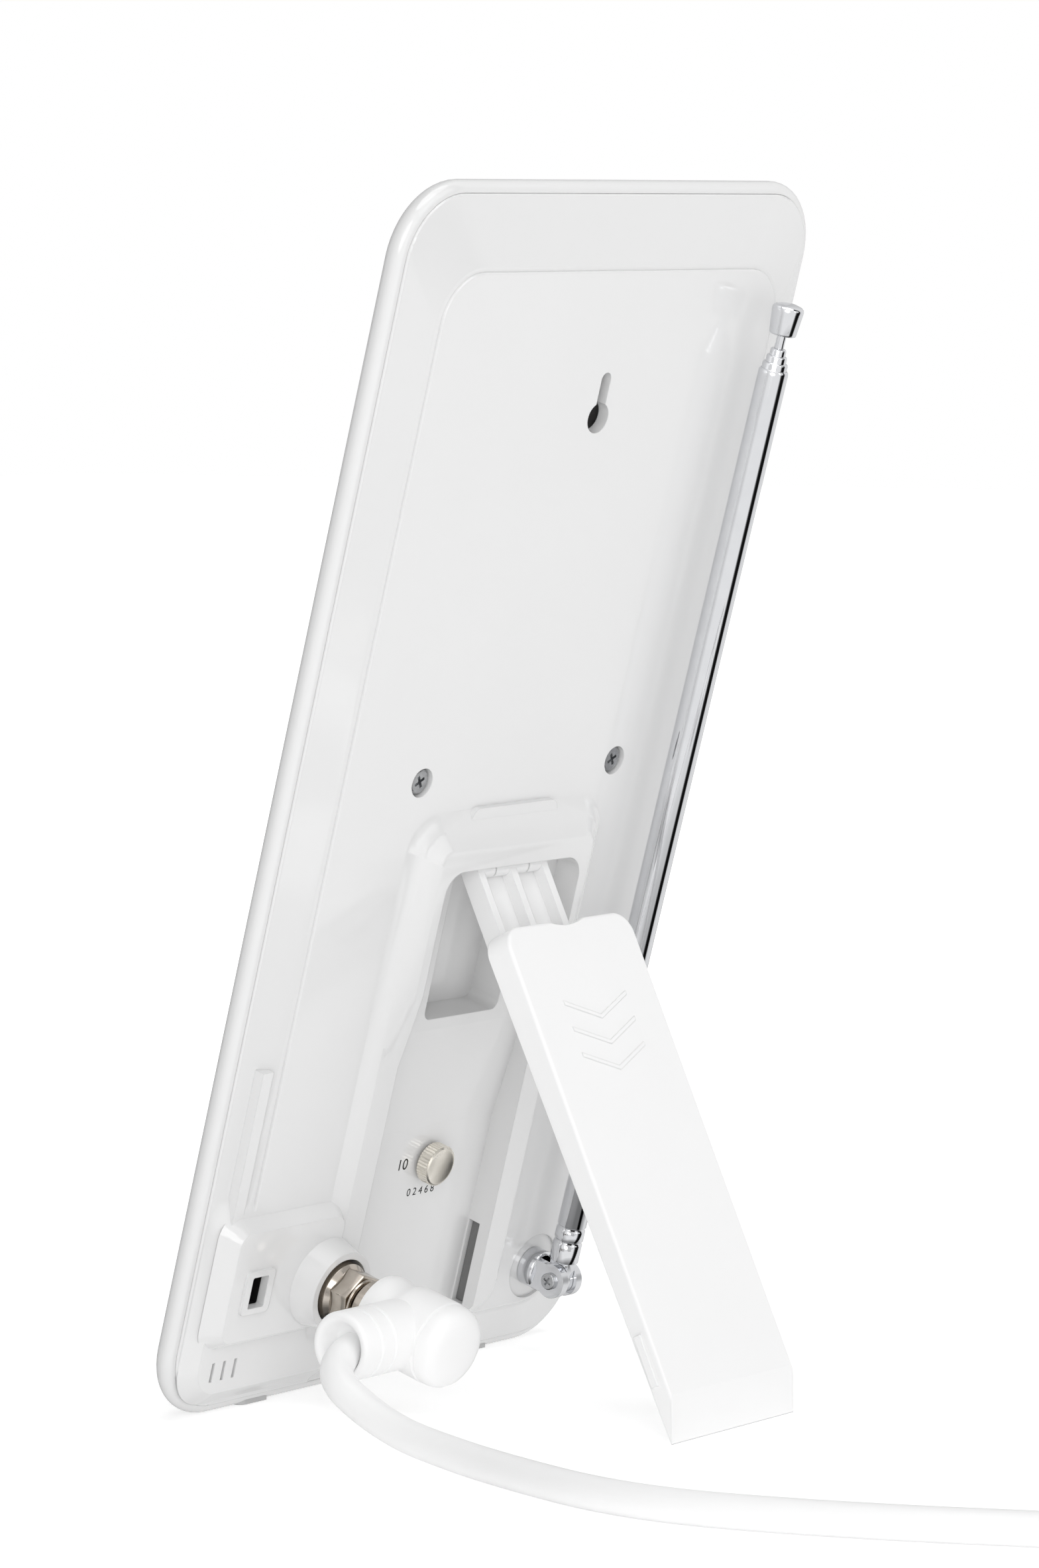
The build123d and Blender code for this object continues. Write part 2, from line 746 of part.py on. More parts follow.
# Stand: hollow leg, cut upright at the foot
reach_y = leg_foot_reach + shift_y - hinge.Y
tip_s = reach_y * s_leg + hinge.Z * c_leg
tip_n = reach_y * c_leg - hinge.Z * s_leg
bend_s = (reach_y - leg_face * c_leg) / s_leg
inner_face = leg_face - leg_wall
inner_bend_s = (reach_y - 1.0 - inner_face * c_leg) / s_leg
top_back = leg_face - leg_top_depth
rail_inner = slider_width / 2 + slide_gap
rail_length = slider_start + slider_length + leg_travel - leg_top_s - leg_wall + slide_gap
with BuildPart() as stand_leg:
    with BuildSketch(arm_side):
        with BuildLine():
            Polyline(
                (leg_top_s, leg_face),
                (bend_s, leg_face),
                (tip_s, tip_n),
                (leg_top_s, top_back),
                close=True,
            )
        make_face()
    extrude(amount=leg_width / 2, both=True)
    top_corners = stand_leg.edges().filter_by(arm_out).group_by(arm_down)[0]
    fillet(top_corners, 5.0)
    fillet(stand_leg.faces().sort_by(arm_out)[-1].edges(), 0.8)
    with BuildSketch(arm_side):
        with BuildLine():
            Polyline(
                (leg_top_s + leg_wall, inner_face),
                (inner_bend_s, inner_face),
                (tip_s - 3.0, tip_n - 0.6),
                (tip_s, tip_n - 4.0),
                (leg_top_s + leg_wall, top_back - 2.0),
                close=True,
            )
        make_face()
    extrude(amount=leg_width / 2 - leg_wall, both=True, mode=Mode.SUBTRACT)
    with BuildSketch(arm_front.offset(top_back - 1.0)):
        with Locations((0, -leg_top_s + 14.8)):
            Circle(16.0)
    extrude(amount=leg_top_depth + 2.0, mode=Mode.SUBTRACT)
    # Two rails that hold the slider of the arm, and the stop at their end
    rail_middle = leg_top_s + leg_wall + rail_length / 2
    rail_low = slider_top - slider_head - slide_gap
    with BuildSketch(arm_front.offset(rail_low - 1.6)):
        with Locations((-rail_inner, -rail_middle), (rail_inner, -rail_middle)):
            Rectangle(5.0, rail_length)
    extrude(amount=1.6)
    with BuildSketch(arm_front.offset(rail_low - 1.6)):
        with Locations((-rail_inner - 0.9, -rail_middle), (rail_inner + 0.9, -rail_middle)):
            Rectangle(1.8, rail_length)
        with Locations((0, -rail_middle - rail_length / 2 - 0.8)):
            Rectangle(2 * rail_inner + 3.6, 1.6)
    extrude(amount=inner_face - rail_low + 1.6)
    # Three raised arrows that show which way the leg slides
    for step in range(3):
        start = -leg_top_s - 14.6 - 5.7 * step
        with BuildSketch(arm_front.offset(leg_face)):
            with BuildLine():
                Polyline(
                    (-10.2, start),
                    (0.0, start - 4.1),
                    (10.2, start),
                    (10.2, start - 0.9),
                    (0.0, start - 5.0),
                    (-10.2, start - 0.9),
                    close=True,
                )
            make_face()
        extrude(amount=0.2)
    # Side tabs that click into the slots of the channel
    tab_s = tip_s - 17.5
    with BuildSketch(arm_side):
        with Locations((tab_s, tip_n + 1.4)):
            Rectangle(tab_height, 1.6)
    extrude(amount=leg_width / 2 + 0.7, both=True)
    with BuildSketch(arm_side):
        with Locations((tab_s, tip_n + 1.4)):
            Rectangle(tab_height + 2, 3.0)
    extrude(amount=leg_width / 2 - leg_wall, both=True, mode=Mode.SUBTRACT)

# Telescopic rod: turned post with a fork, crimped tang, four stages and a cap
rod_pin = at(post_x, post_v, rod_w)
rod_dir = back.y_dir * cos(radians(rod_tilt)) + back.x_dir * sin(radians(rod_tilt))
rod = Plane(origin=rod_pin, x_dir=back.z_dir, z_dir=rod_dir)
rod_section = Plane(origin=rod_pin, x_dir=back.z_dir, z_dir=-rod.y_dir)
rod_axis = Axis(rod_pin, rod_dir)
cheek = Plane(origin=rod_pin, x_dir=rod_dir, z_dir=rod.y_dir)
cheek_inner = tongue / 2 + 0.1
cheek_sheet = 1.9
dish = panel_top - 0.7
clip_w = board_back - 0.1

with BuildPart() as rod_knuckle:
    with BuildSketch(back.offset(clip_w - 1.2)):
        with Locations((post_x, post_v)):
            Circle(post_radius)
    extrude(amount=dish + 0.1 - clip_w + 1.2)
    with BuildSketch(back.offset(dish + 0.1)):
        with Locations((post_x, post_v)):
            Circle(collar_radius)
    extrude(amount=collar_top - dish - 0.1)
    fillet(rod_knuckle.faces().sort_by(outward)[-1].edges(), 0.6)
    for side in (-1, 1):
        with BuildSketch(cheek.offset(side * (cheek_inner + cheek_sheet / 2))):
            Circle(fork_radius)
            with Locations((0, (collar_top - rod_w - 1.0) / 2)):
                Rectangle(1.7 * fork_radius, rod_w - collar_top + 1.0)
        extrude(amount=cheek_sheet / 2, both=True)
    with BuildSketch(cheek):
        Circle(1.05)
    extrude(amount=8.0, both=True, mode=Mode.SUBTRACT)
    with BuildSketch(back.offset(clip_w - 0.6)):
        with Locations((post_x, post_v)):
            Circle(post_radius + 0.5)
            Circle(post_radius - 0.4, mode=Mode.SUBTRACT)
    extrude(amount=0.6, mode=Mode.SUBTRACT)

with BuildPart() as post_clip:
    with BuildSketch(back.offset(clip_w - 0.6)):
        with Locations((post_x, post_v)):
            Circle(4.0)
            Circle(post_radius - 0.4, mode=Mode.SUBTRACT)
        with Locations((post_x, post_v - 3.0)):
            Rectangle(3.0, 3.0, mode=Mode.SUBTRACT)
    extrude(amount=0.6)

with BuildPart() as knuckle_screw:
    with BuildSketch(cheek.offset(-cheek_inner - cheek_sheet)):
        Circle(1.85)
    extrude(amount=-0.9)
    fillet(knuckle_screw.faces().sort_by(Axis(rod_pin, -rod.y_dir))[-1].edges(), 0.35)
    with BuildSketch(cheek.offset(-cheek_inner - cheek_sheet - 0.9)):
        Rectangle(2.1, 0.5, rotation=20)
        Rectangle(0.5, 2.1, rotation=20)
    extrude(amount=0.6, mode=Mode.SUBTRACT)
    with BuildSketch(cheek.offset(-cheek_inner - cheek_sheet)):
        Circle(1.0)
    extrude(amount=2 * (cheek_inner + cheek_sheet))

plug_radius = tube_radius - tube_wall
plug_end = tube_start + 10.5
with BuildPart() as rod_tang:
    with BuildSketch(cheek):
        Circle(2.9)
        with Locations((2.7, 0)):
            Rectangle(5.4, 5.0)
        Circle(1.05, mode=Mode.SUBTRACT)
    extrude(amount=tongue / 2, both=True)
    with BuildSketch(rod.offset(tube_start)):
        Circle(plug_radius)
    extrude(amount=plug_end - tube_start)

stage_radii = [tube_radius - number * (tube_wall + stage_gap) for number in range(stage_count)]
stage_tubes = []
for number, radius in enumerate(stage_radii):
    low = tube_start if number == 0 else plug_end + 0.5 + 2.0 * number
    high = tube_end + stage_step * number
    bore = radius - tube_wall
    next_radius = tip_radius if number == stage_count - 1 else stage_radii[number + 1]
    lip = next_radius + 0.04
    foot = radius if number == 0 else radius + stage_gap - 0.03
    with BuildPart() as stage:
        with BuildSketch(rod_section):
            with BuildLine():
                Polyline(
                    (bore, low),
                    (foot, low),
                    (foot, low + 5.0),
                    (radius, low + 5.6),
                    (radius, high - 0.5),
                    (radius - 0.35, high),
                    (lip, high),
                    (lip, high - 1.0),
                    (bore, high - 1.6),
                    close=True,
                )
            make_face()
        revolve(axis=rod_axis)
        if number == 0:
            for groove in (tube_start + 4.2, tube_start + 7.4):
                with BuildSketch(rod.offset(groove)):
                    Circle(radius + 1.0)
                    Circle(radius - 0.15, mode=Mode.SUBTRACT)
                extrude(amount=0.9, mode=Mode.SUBTRACT)
                crimp = rod.from_local_coords((0, 0, groove + 0.45))
                with BuildSketch(Plane(origin=crimp, z_dir=rod.x_dir - rod.y_dir)):
                    Circle(0.5)
                extrude(amount=radius + 1.0, mode=Mode.SUBTRACT)
    stage_tubes.append(stage)

tip_low = plug_end + 0.5 + 2.0 * stage_count
cap_low = tube_end + stage_step * (stage_count - 1) + 3.0
tip_foot = stage_radii[-1] - tube_wall - 0.03
with BuildPart() as rod_tip:
    with BuildSketch(rod_section):
        with BuildLine():
            Polyline(
                (0, tip_low),
                (tip_foot, tip_low),
                (tip_foot, tip_low + 5.0),
                (tip_radius, tip_low + 5.6),
                (tip_radius, cap_low + 3.5),
                (0, cap_low + 3.5),
                close=True,
            )
        make_face()
    revolve(axis=rod_axis)

with BuildPart() as rod_cap:
    with BuildSketch(rod_section):
        with BuildLine():
            Polyline(
                (tip_radius, cap_low),
                (cap_low_radius - 0.3, cap_low),
                (cap_low_radius, cap_low + 0.4),
                (cap_top_radius, cap_low + cap_length - 1.2),
                (cap_top_radius - 0.5, cap_low + cap_length - 0.4),
                (cap_top_radius - 1.6, cap_low + cap_length),
                (0, cap_low + cap_length + 0.2),
                (0, cap_low + 3.5),
                (tip_radius, cap_low + 3.5),
                close=True,
            )
        make_face()
    revolve(axis=rod_axis)

# Cable plug: turning nut, ferrule, centre pin and right-angle moulding
plug_section = Plane(origin=at(socket_x, socket_v, 0), x_dir=back.x_dir, z_dir=-back.y_dir)
plug_axis = Axis(plug_section.origin, back.z_dir)
nut_seat = thread_top + 0.6
with BuildPart() as coupling_nut:
    with BuildSketch(back.offset(nut_ring_top)):
        with Locations((socket_x, socket_v)):
            RegularPolygon(nut_flats / 2, 6, major_radius=False, rotation=12)
    extrude(amount=nut_top - nut_ring_top)
    with BuildSketch(back.offset(nut_low)):
        with Locations((socket_x, socket_v)):
            Circle(nut_flats / 2 + 0.55)
    extrude(amount=nut_ring_top - nut_low)
    chamfer(coupling_nut.faces().sort_by(outward)[0].edges(), 0.4)
    with BuildSketch(back.offset(nut_low)):
        with Locations((socket_x, socket_v)):
            Circle(thread_radius + pin_gap)
    extrude(amount=nut_seat - nut_low, mode=Mode.SUBTRACT)
    with BuildSketch(back.offset(nut_seat)):
        with Locations((socket_x, socket_v)):
            Circle(core_radius + pin_gap)
    extrude(amount=nut_top - nut_seat, mode=Mode.SUBTRACT)

with BuildPart() as plug_ferrule:
    with BuildSketch(plug_section):
        with BuildLine():
            Polyline(
                (1.2, thread_top + 0.05),
                (core_radius + 0.7, thread_top + 0.05),
                (core_radius + 0.7, nut_seat - 0.05),
                (core_radius, nut_seat - 0.05),
                (core_radius, nut_top + 0.4),
                (core_radius + 0.9, nut_top + 0.4),
                (core_radius + 0.9, core_collar_low),
                (core_radius + 2.1, core_collar_low),
                (core_radius + 2.1, core_collar_top),
                (core_radius, core_collar_top),
                (core_radius, branch_w - 3.3),
                (1.2, branch_w - 3.3),
                close=True,
            )
        make_face()
    revolve(axis=plug_axis)

with BuildPart() as plug_pin:
    with BuildSketch(back.offset(thread_top - 4.5)):
        with Locations((socket_x, socket_v)):
            Circle(0.45)
    extrude(amount=4.55)
    with BuildSketch(back.offset(thread_top + 0.05)):
        with Locations((socket_x, socket_v)):
            Circle(1.2)
    extrude(amount=branch_w - 3.3 - thread_top - 0.05)

# Route of the cable: out of the moulding, down to the floor and along it to the coil
branch_centre = at(socket_x, socket_v, branch_w)
branch = Plane(origin=branch_centre, x_dir=back.y_dir, z_dir=(1, 0, 0))
cable_radius = cable_diameter / 2
cable_points = [
    (branch_centre.X + cable_seat, branch_centre.Y, branch_centre.Z),
    (62.2, branch_centre.Y + 0.2, branch_centre.Z - 1.9),
    (63.0, 13.4, 6.2),
    (65.8, 35.9, cable_radius),
    (72.3, 58.5, cable_radius),
    (76.5, 78.2, cable_radius),
    (76.0, 97.9, cable_radius),
    (69.6, 120.6, cable_radius),
    (60.3, 144.5, cable_radius),
    (51.4, 163.1, cable_radius),
    (46.4, 176.6, cable_radius),
    (45.2, 188.5, cable_radius),
    (45.45, 200.0, cable_radius),
]
far_axis_height = nut_flats / 2 / cos(radians(30)) + 0.05
tail_points = [
    (coil_x + 32.9, coil_y + 19.0, 9.43),
    (coil_x + 25.5, coil_y + 30.9, 10.3),
    (coil_x + 16.1, coil_y + 41.3, 9.7),
    (coil_x + 5.5, coil_y + 48.8, far_axis_height),
    (coil_x - 3.2, coil_y + 53.8, far_axis_height),
]


def bend_radii(points):
    """Radius at each corner of a route, as large as the two runs beside it allow."""
    radii = []
    for before, corner, after in zip(points, points[1:], points[2:]):
        run_in = Vector(*corner) - Vector(*before)
        run_out = Vector(*after) - Vector(*corner)
        half_turn = radians(run_in.get_angle(run_out)) / 2
        radii.append(0.45 * min(run_in.length, run_out.length) / tan(half_turn))
    return radii


bends = bend_radii(cable_points)
tail_bends = bend_radii(tail_points)
print("bend radii of the cable in mm:", [round(bend, 1) for bend in bends + tail_bends])
cable_exit = Plane(
    origin=cable_points[0], z_dir=Vector(*cable_points[1]) - Vector(*cable_points[0])
)

with BuildPart() as plug_elbow:
    with BuildSketch(plug_section):
        with BuildLine():
            Polyline(
                (core_radius, core_collar_top),
                (elbow_radius - 1.8, core_collar_top),
                (elbow_radius - 0.5, core_collar_top + 1.4),
                (elbow_radius - 0.5, core_collar_top + 3.2),
                (elbow_radius - 1.1, core_collar_top + 5.4),
                (elbow_radius - 1.1, core_collar_top + 6.8),
                (elbow_radius, core_collar_top + 8.4),
                (elbow_radius, elbow_top - 5.2),
                (elbow_radius - 0.35, elbow_top - 4.8),
                (elbow_radius - 0.1, elbow_top - 4.3),
                (elbow_radius - 0.9, elbow_top - 1.6),
                (elbow_radius - 3.2, elbow_top - 0.2),
                (0, elbow_top),
                (0, branch_w - 3.3),
                (core_radius, branch_w - 3.3),
                close=True,
            )
        make_face()
    revolve(axis=plug_axis)
    with BuildSketch(branch):
        Circle(branch_radius)
    extrude(amount=branch_reach)
    with BuildSketch(back.offset(core_collar_top)):
        with Locations((socket_x, socket_v)):
            Circle(core_radius)
    extrude(amount=branch_w - 3.3 - core_collar_top, mode=Mode.SUBTRACT)
    fillet(plug_elbow.faces().sort_by(Axis.X)[-1].edges(), 0.7)
    for ring in (branch_reach - 5.4, branch_reach - 9.6):
        with BuildSketch(branch.offset(ring)):
            Circle(branch_radius + 1.0)
            Circle(branch_radius - 0.35, mode=Mode.SUBTRACT)
        extrude(amount=0.8, mode=Mode.SUBTRACT)
    with BuildSketch(branch.offset(branch_reach)):
        Circle(branch_radius - 1.2)
    with BuildSketch(branch.offset(branch_reach - 3.6)):
        Circle(cable_diameter / 2 + 0.6)
    loft(mode=Mode.SUBTRACT)
    with BuildSketch(cable_exit):
        Circle(cable_radius)
    extrude(amount=branch_reach - cable_seat, mode=Mode.SUBTRACT)
with BuildPart() as antenna_cable:
    with BuildLine() as cable_route:
        FilletPolyline(*cable_points, radius=bends)
    with BuildSketch(cable_exit):
        Circle(cable_radius)
    sweep()
cable_length = sum(edge.length for edge in cable_route.edges())
print("length of the free cable in mm:", round(cable_length, 1))
print("volume against section and length:", antenna_cable.part.volume / cable_length)

# Tail of the cable, which leaves the coil for the far plug
tail_end = Vector(*tail_points[-1])
tail_heading = tail_end - Vector(*tail_points[-2])
far = Plane(origin=tail_end, x_dir=(0, 0, 1), z_dir=(tail_heading.X, tail_heading.Y, 0))
with BuildPart() as cable_tail:
    with BuildLine() as tail_route:
        FilletPolyline(*tail_points, radius=tail_bends)
    with BuildSketch(Plane(origin=tail_route.line @ 0, z_dir=tail_route.line % 0)):
        Circle(cable_radius)
    sweep()

# Coil of the length that is put away, with its tie and the far plug
coil_half = coil_turns_wide * cable_diameter / 2
coil_top_radius = coil_radius - cable_diameter / 2
coil_height = cable_diameter + 0.866 * cable_diameter
coil_section = Plane(origin=(coil_x, coil_y, 0), x_dir=(1, 0, 0), z_dir=(0, -1, 0))
with BuildPart() as cable_coil:
    with BuildSketch(coil_section):
        with BuildLine():
            Polyline(
                (coil_radius - coil_half + 1.2, 0),
                (coil_radius + coil_half - 1.2, 0),
                (coil_radius + coil_half, 2.4),
                (coil_radius + coil_half, 4.6),
                (coil_top_radius + coil_half, coil_height - 2.4),
                (coil_top_radius + coil_half - 1.2, coil_height),
                (coil_top_radius - coil_half + 1.2, coil_height),
                (coil_top_radius - coil_half, coil_height - 2.4),
                (coil_top_radius - coil_half, coil_height - 4.6),
                (coil_radius - coil_half, 2.4),
                close=True,
            )
        make_face()
    revolve(axis=Axis((coil_x, coil_y, 0), (0, 0, 1)))
    with BuildSketch(Plane.XY):
        with Locations((coil_x, coil_y - coil_radius)):
            Rectangle(tie_width, 2 * coil_half + 12)
    extrude(amount=tie_sheet, mode=Mode.SUBTRACT)
    with BuildSketch(Plane.XY.offset(coil_height - tie_sheet)):
        with Locations((coil_x, coil_y - coil_radius)):
            Rectangle(tie_width, 2 * coil_half + 12)
    extrude(amount=2.0, mode=Mode.SUBTRACT)
    add(antenna_cable.part, mode=Mode.SUBTRACT)
    add(cable_tail.part, mode=Mode.SUBTRACT)

tie_span = 2 * coil_half + cable_diameter / 2
tie_y = coil_y - (coil_radius + coil_top_radius) / 2
tie_middle = Plane(origin=(coil_x, tie_y, 0), x_dir=(0, 1, 0), z_dir=(1, 0, 0))
with BuildPart() as cable_tie:
    with BuildSketch(tie_middle):
        with Locations((0, coil_height / 2)):
            Rectangle(tie_span + 2.2, coil_height)
            Rectangle(tie_span + 1.0, coil_height - 2 * tie_sheet, mode=Mode.SUBTRACT)
    extrude(amount=tie_width / 2 - 0.05, both=True)

with BuildPart() as far_plug:
    with BuildSketch(far.offset(0.2)):
        Circle(4.4)
    with BuildSketch(far.offset(4.0)):
        Circle(5.2)
    loft()
    with BuildSketch(far.offset(4.0)):
        Circle(5.2)
    extrude(amount=far_plug_length - 14.0)
    for ring in range(3):
        with BuildSketch(far.offset(6.0 + 2.4 * ring)):
            Circle(6.0)
            Circle(4.9, mode=Mode.SUBTRACT)
        extrude(amount=0.9, mode=Mode.SUBTRACT)
    with BuildSketch(far.offset(far_plug_length - 10.0)):
        Circle(core_radius)
    extrude(amount=6.0)
    with BuildSketch(far.offset(far_plug_length - 5.0)):
        Circle(0.45)
    extrude(amount=6.0)

with BuildPart() as far_nut:
    with BuildSketch(far.offset(far_plug_length - 9.6)):
        RegularPolygon(nut_flats / 2, 6, major_radius=False)
    extrude(amount=9.6)
    with BuildSketch(far.offset(far_plug_length - 4.0)):
        Circle(thread_radius)
    extrude(amount=4.0, mode=Mode.SUBTRACT)
    with BuildSketch(far.offset(far_plug_length - 9.6)):
        Circle(core_radius + pin_gap)
    extrude(amount=9.6, mode=Mode.SUBTRACT)

os.makedirs("parts", exist_ok=True)
pieces = {
    "front_cover": front_cover,
    "bottom_pads": bottom_pads,
    "rear_cover": rear_cover,
    "housing_screws": housing_screws,
    "circuit_board": circuit_board,
    "board_screws": board_screws,
    "shield_can": shield_can,
    "gain_control": gain_control,
    "gain_knob": gain_knob,
    "signal_socket": signal_socket,
    "socket_insulator": socket_insulator,
    "power_socket": power_socket,
    "power_contacts": power_contacts,
    "loop_element": loop_element,
    "rod_contact": rod_contact,
    "stand_arm": stand_arm,
    "hinge_pin": hinge_pin,
    "stand_leg": stand_leg,
    "rod_knuckle": rod_knuckle,
    "post_clip": post_clip,
    "knuckle_screw": knuckle_screw,
    "rod_tang": rod_tang,
    "rod_stage_1": stage_tubes[0],
    "rod_stage_2": stage_tubes[1],
    "rod_stage_3": stage_tubes[2],
    "rod_stage_4": stage_tubes[3],
    "rod_tip": rod_tip,
    "rod_cap": rod_cap,
    "coupling_nut": coupling_nut,
    "plug_ferrule": plug_ferrule,
    "plug_pin": plug_pin,
    "plug_elbow": plug_elbow,
    "antenna_cable": antenna_cable,
    "cable_coil": cable_coil,
    "cable_tie": cable_tie,
    "cable_tail": cable_tail,
    "far_plug": far_plug,
    "far_nut": far_nut,
}
for label, builder in pieces.items():
    builder.part.label = label
    export_step(builder.part, f"parts/{label}.step")
    print(label, "valid" if builder.part.is_valid else "NOT VALID", round(builder.part.volume))
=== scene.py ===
"""Indoor television antenna seen from behind: housing, folding stand, rod, plug and cable."""

import logging
from dataclasses import dataclass, field
from enum import Enum
from math import cos, pi, radians, sin

import bmesh
import bpy
from mathutils import Matrix, Vector


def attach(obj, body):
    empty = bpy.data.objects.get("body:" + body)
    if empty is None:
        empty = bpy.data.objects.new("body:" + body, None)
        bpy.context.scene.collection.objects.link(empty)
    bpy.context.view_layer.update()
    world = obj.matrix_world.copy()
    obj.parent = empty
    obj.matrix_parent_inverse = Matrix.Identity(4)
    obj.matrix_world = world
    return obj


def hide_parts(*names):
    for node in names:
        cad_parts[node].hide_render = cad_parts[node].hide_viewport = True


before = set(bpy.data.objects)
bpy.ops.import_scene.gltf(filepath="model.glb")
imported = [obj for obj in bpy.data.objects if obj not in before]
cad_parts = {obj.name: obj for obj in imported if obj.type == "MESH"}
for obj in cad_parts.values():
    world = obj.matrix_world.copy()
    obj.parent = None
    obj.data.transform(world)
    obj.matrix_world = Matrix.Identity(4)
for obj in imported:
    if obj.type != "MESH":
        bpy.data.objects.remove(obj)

log = logging.getLogger("antenna")

Point = tuple[float, float, float]
Profile = list[tuple[float, float]]

MM = 0.001

# Welding distances: of turned shapes in millimetres, of copied nodes in metres
TURNED_WELD = 0.0005
COPY_WELD = 0.000002

# Degrees between facets of one flat, at a crease between wide flats, and at a steep edge
FLAT_ANGLE = 0.4
FLAT_CREASE = 3.0
STEEP_CREASE = 36.0

# Least width of a wide flat, in millimetres
WIDE_FLAT = 0.6

# Middle part of a noise, which is spread over a range of values
NOISE_LOW = 0.3
NOISE_HIGH = 0.7

# Axis of the signal socket in the leaning frame, and the plug's branch across it
SOCKET_X = -31.0
SOCKET_V = 30.0
BRANCH_W = 33.3
BRANCH_REACH = 23.6


# Frames of the object, in millimetres


@dataclass(frozen=True)
class Lean:
    """The leaning frame of the housing: across, up along its slope and out of its back."""

    degrees: float = 16.5
    origin_y: float = -46.0593
    origin_z: float = -0.2357

    @property
    def across(self) -> Vector:
        """Direction to the right of someone who faces the back."""
        return Vector((-1.0, 0.0, 0.0))

    @property
    def up(self) -> Vector:
        """Direction up the slope of the housing."""
        return Vector((0.0, sin(radians(self.degrees)), cos(radians(self.degrees))))

    @property
    def out(self) -> Vector:
        """Direction straight out of the back."""
        return Vector((0.0, cos(radians(self.degrees)), -sin(radians(self.degrees))))

    def at(self, x: float, v: float, w: float) -> Vector:
        """World point in millimetres of a point given across, up and out."""
        base = Vector((0.0, self.origin_y, self.origin_z))
        return base + self.across * x + self.up * v + self.out * w

    def matrix(self, x: float, v: float, w: float) -> Matrix:
        """Matrix from millimetres in the leaning frame, centred on a point, to metres."""
        return placed(self.at(x, v, w), self.across, self.out)


def placed(origin: Vector, ref: Vector, axis: Vector) -> Matrix:
    """Make the matrix that puts a piece drawn in millimetres in its place.

    Args:
        origin: place of the piece's own origin, in millimetres.
        ref: direction of the piece's own x axis.
        axis: direction of the piece's own z axis.

    Returns:
        The matrix, which also turns millimetres to metres.
    """
    z = axis.normalized()
    x = (ref - z * ref.dot(z)).normalized()
    y = z.cross(x)
    turn = Matrix((x, y, z)).transposed().to_4x4()
    return Matrix.Scale(MM, 4) @ Matrix.Translation(origin) @ turn


LEAN = Lean()


# Colours, nodes and finishes


def linear(code: str) -> tuple[float, float, float, float]:
    """Turn an sRGB hex code to the linear colour that sockets take."""
    parts = [int(code[i : i + 2], 16) / 255 for i in (1, 3, 5)]
    red, green, blue = [p / 12.92 if p <= 0.04045 else ((p + 0.055) / 1.055) ** 2.4 for p in parts]
    return (red, green, blue, 1.0)


def add_node(tree: bpy.types.NodeTree, kind: str, inputs: dict, **settings) -> bpy.types.Node:
    """Add a node with its settings, values and links.

    Args:
        tree: node tree that gets the node.
        kind: Blender's name for the kind of node.
        inputs: values or output sockets by the name or number of the input.
        settings: attributes of the node itself.

    Returns:
        The new node.
    """
    node = tree.nodes.new(kind)
    for key, value in settings.items():
        setattr(node, key, value)
    for key, value in inputs.items():
        if isinstance(value, bpy.types.NodeSocket):
            tree.links.new(value, node.inputs[key])
        else:
            node.inputs[key].default_value = value
    return node


def fresh_tree(name: str) -> tuple[bpy.types.Material, bpy.types.NodeTree]:
    """Make an empty node material and return it with its tree."""
    material = bpy.data.materials.new(name)
    material.use_nodes = True
    material.node_tree.nodes.clear()
    return material, material.node_tree


def add_noise(
    tree: bpy.types.NodeTree, where: bpy.types.NodeSocket, size_mm: float, detail: float
) -> bpy.types.Node:
    """Add a noise whose spots are about a given size."""
    return add_node(
        tree, "ShaderNodeTexNoise", {"Vector": where, "Scale": 1 / (size_mm * MM), "Detail": detail}
    )


def add_blend(
    tree: bpy.types.NodeTree, factor: bpy.types.NodeSocket, colour: str, shade: str
) -> bpy.types.Node:
    """Add a blend of two colours by a factor."""
    return add_node(
        tree,
        "ShaderNodeMix",
        {0: factor, 6: linear(colour), 7: linear(shade)},
        data_type="RGBA",
    )


def add_spread(
    tree: bpy.types.NodeTree, noise: bpy.types.Node, low: float, high: float
) -> bpy.types.Node:
    """Add a spread of a noise over a range of values."""
    return add_node(
        tree,
        "ShaderNodeMapRange",
        {0: noise.outputs[0], 1: NOISE_LOW, 2: NOISE_HIGH, 3: low, 4: high},
    )


def add_relief(
    tree: bpy.types.NodeTree,
    grain: bpy.types.Node,
    strength: float,
    depth_mm: float,
    edge_mm: float,
) -> bpy.types.Node:
    """Add the relief of a grain, over rounded edges where their radius is given.

    Args:
        tree: node tree that gets the relief.
        grain: noise of the grain.
        strength: share of the relief that shows.
        depth_mm: depth of the grain.
        edge_mm: radius that edges seem to have, or 0 for edges as they are.

    Returns:
        The node that gives the normal.
    """
    inputs = {"Height": grain.outputs[0], "Strength": strength, "Distance": depth_mm * MM}
    if edge_mm > 0:
        edge = add_node(tree, "ShaderNodeBevel", {"Radius": edge_mm * MM}, samples=6)
        inputs["Normal"] = edge.outputs[0]
    return add_node(tree, "ShaderNodeBump", inputs)


class Mould(Enum):
    """How the tool of a moulded piece was finished, as grain size and depth in millimetres."""

    POLISHED = (9.0, 0.004)
    SATIN = (0.45, 0.010)
    SOFT = (0.8, 0.012)


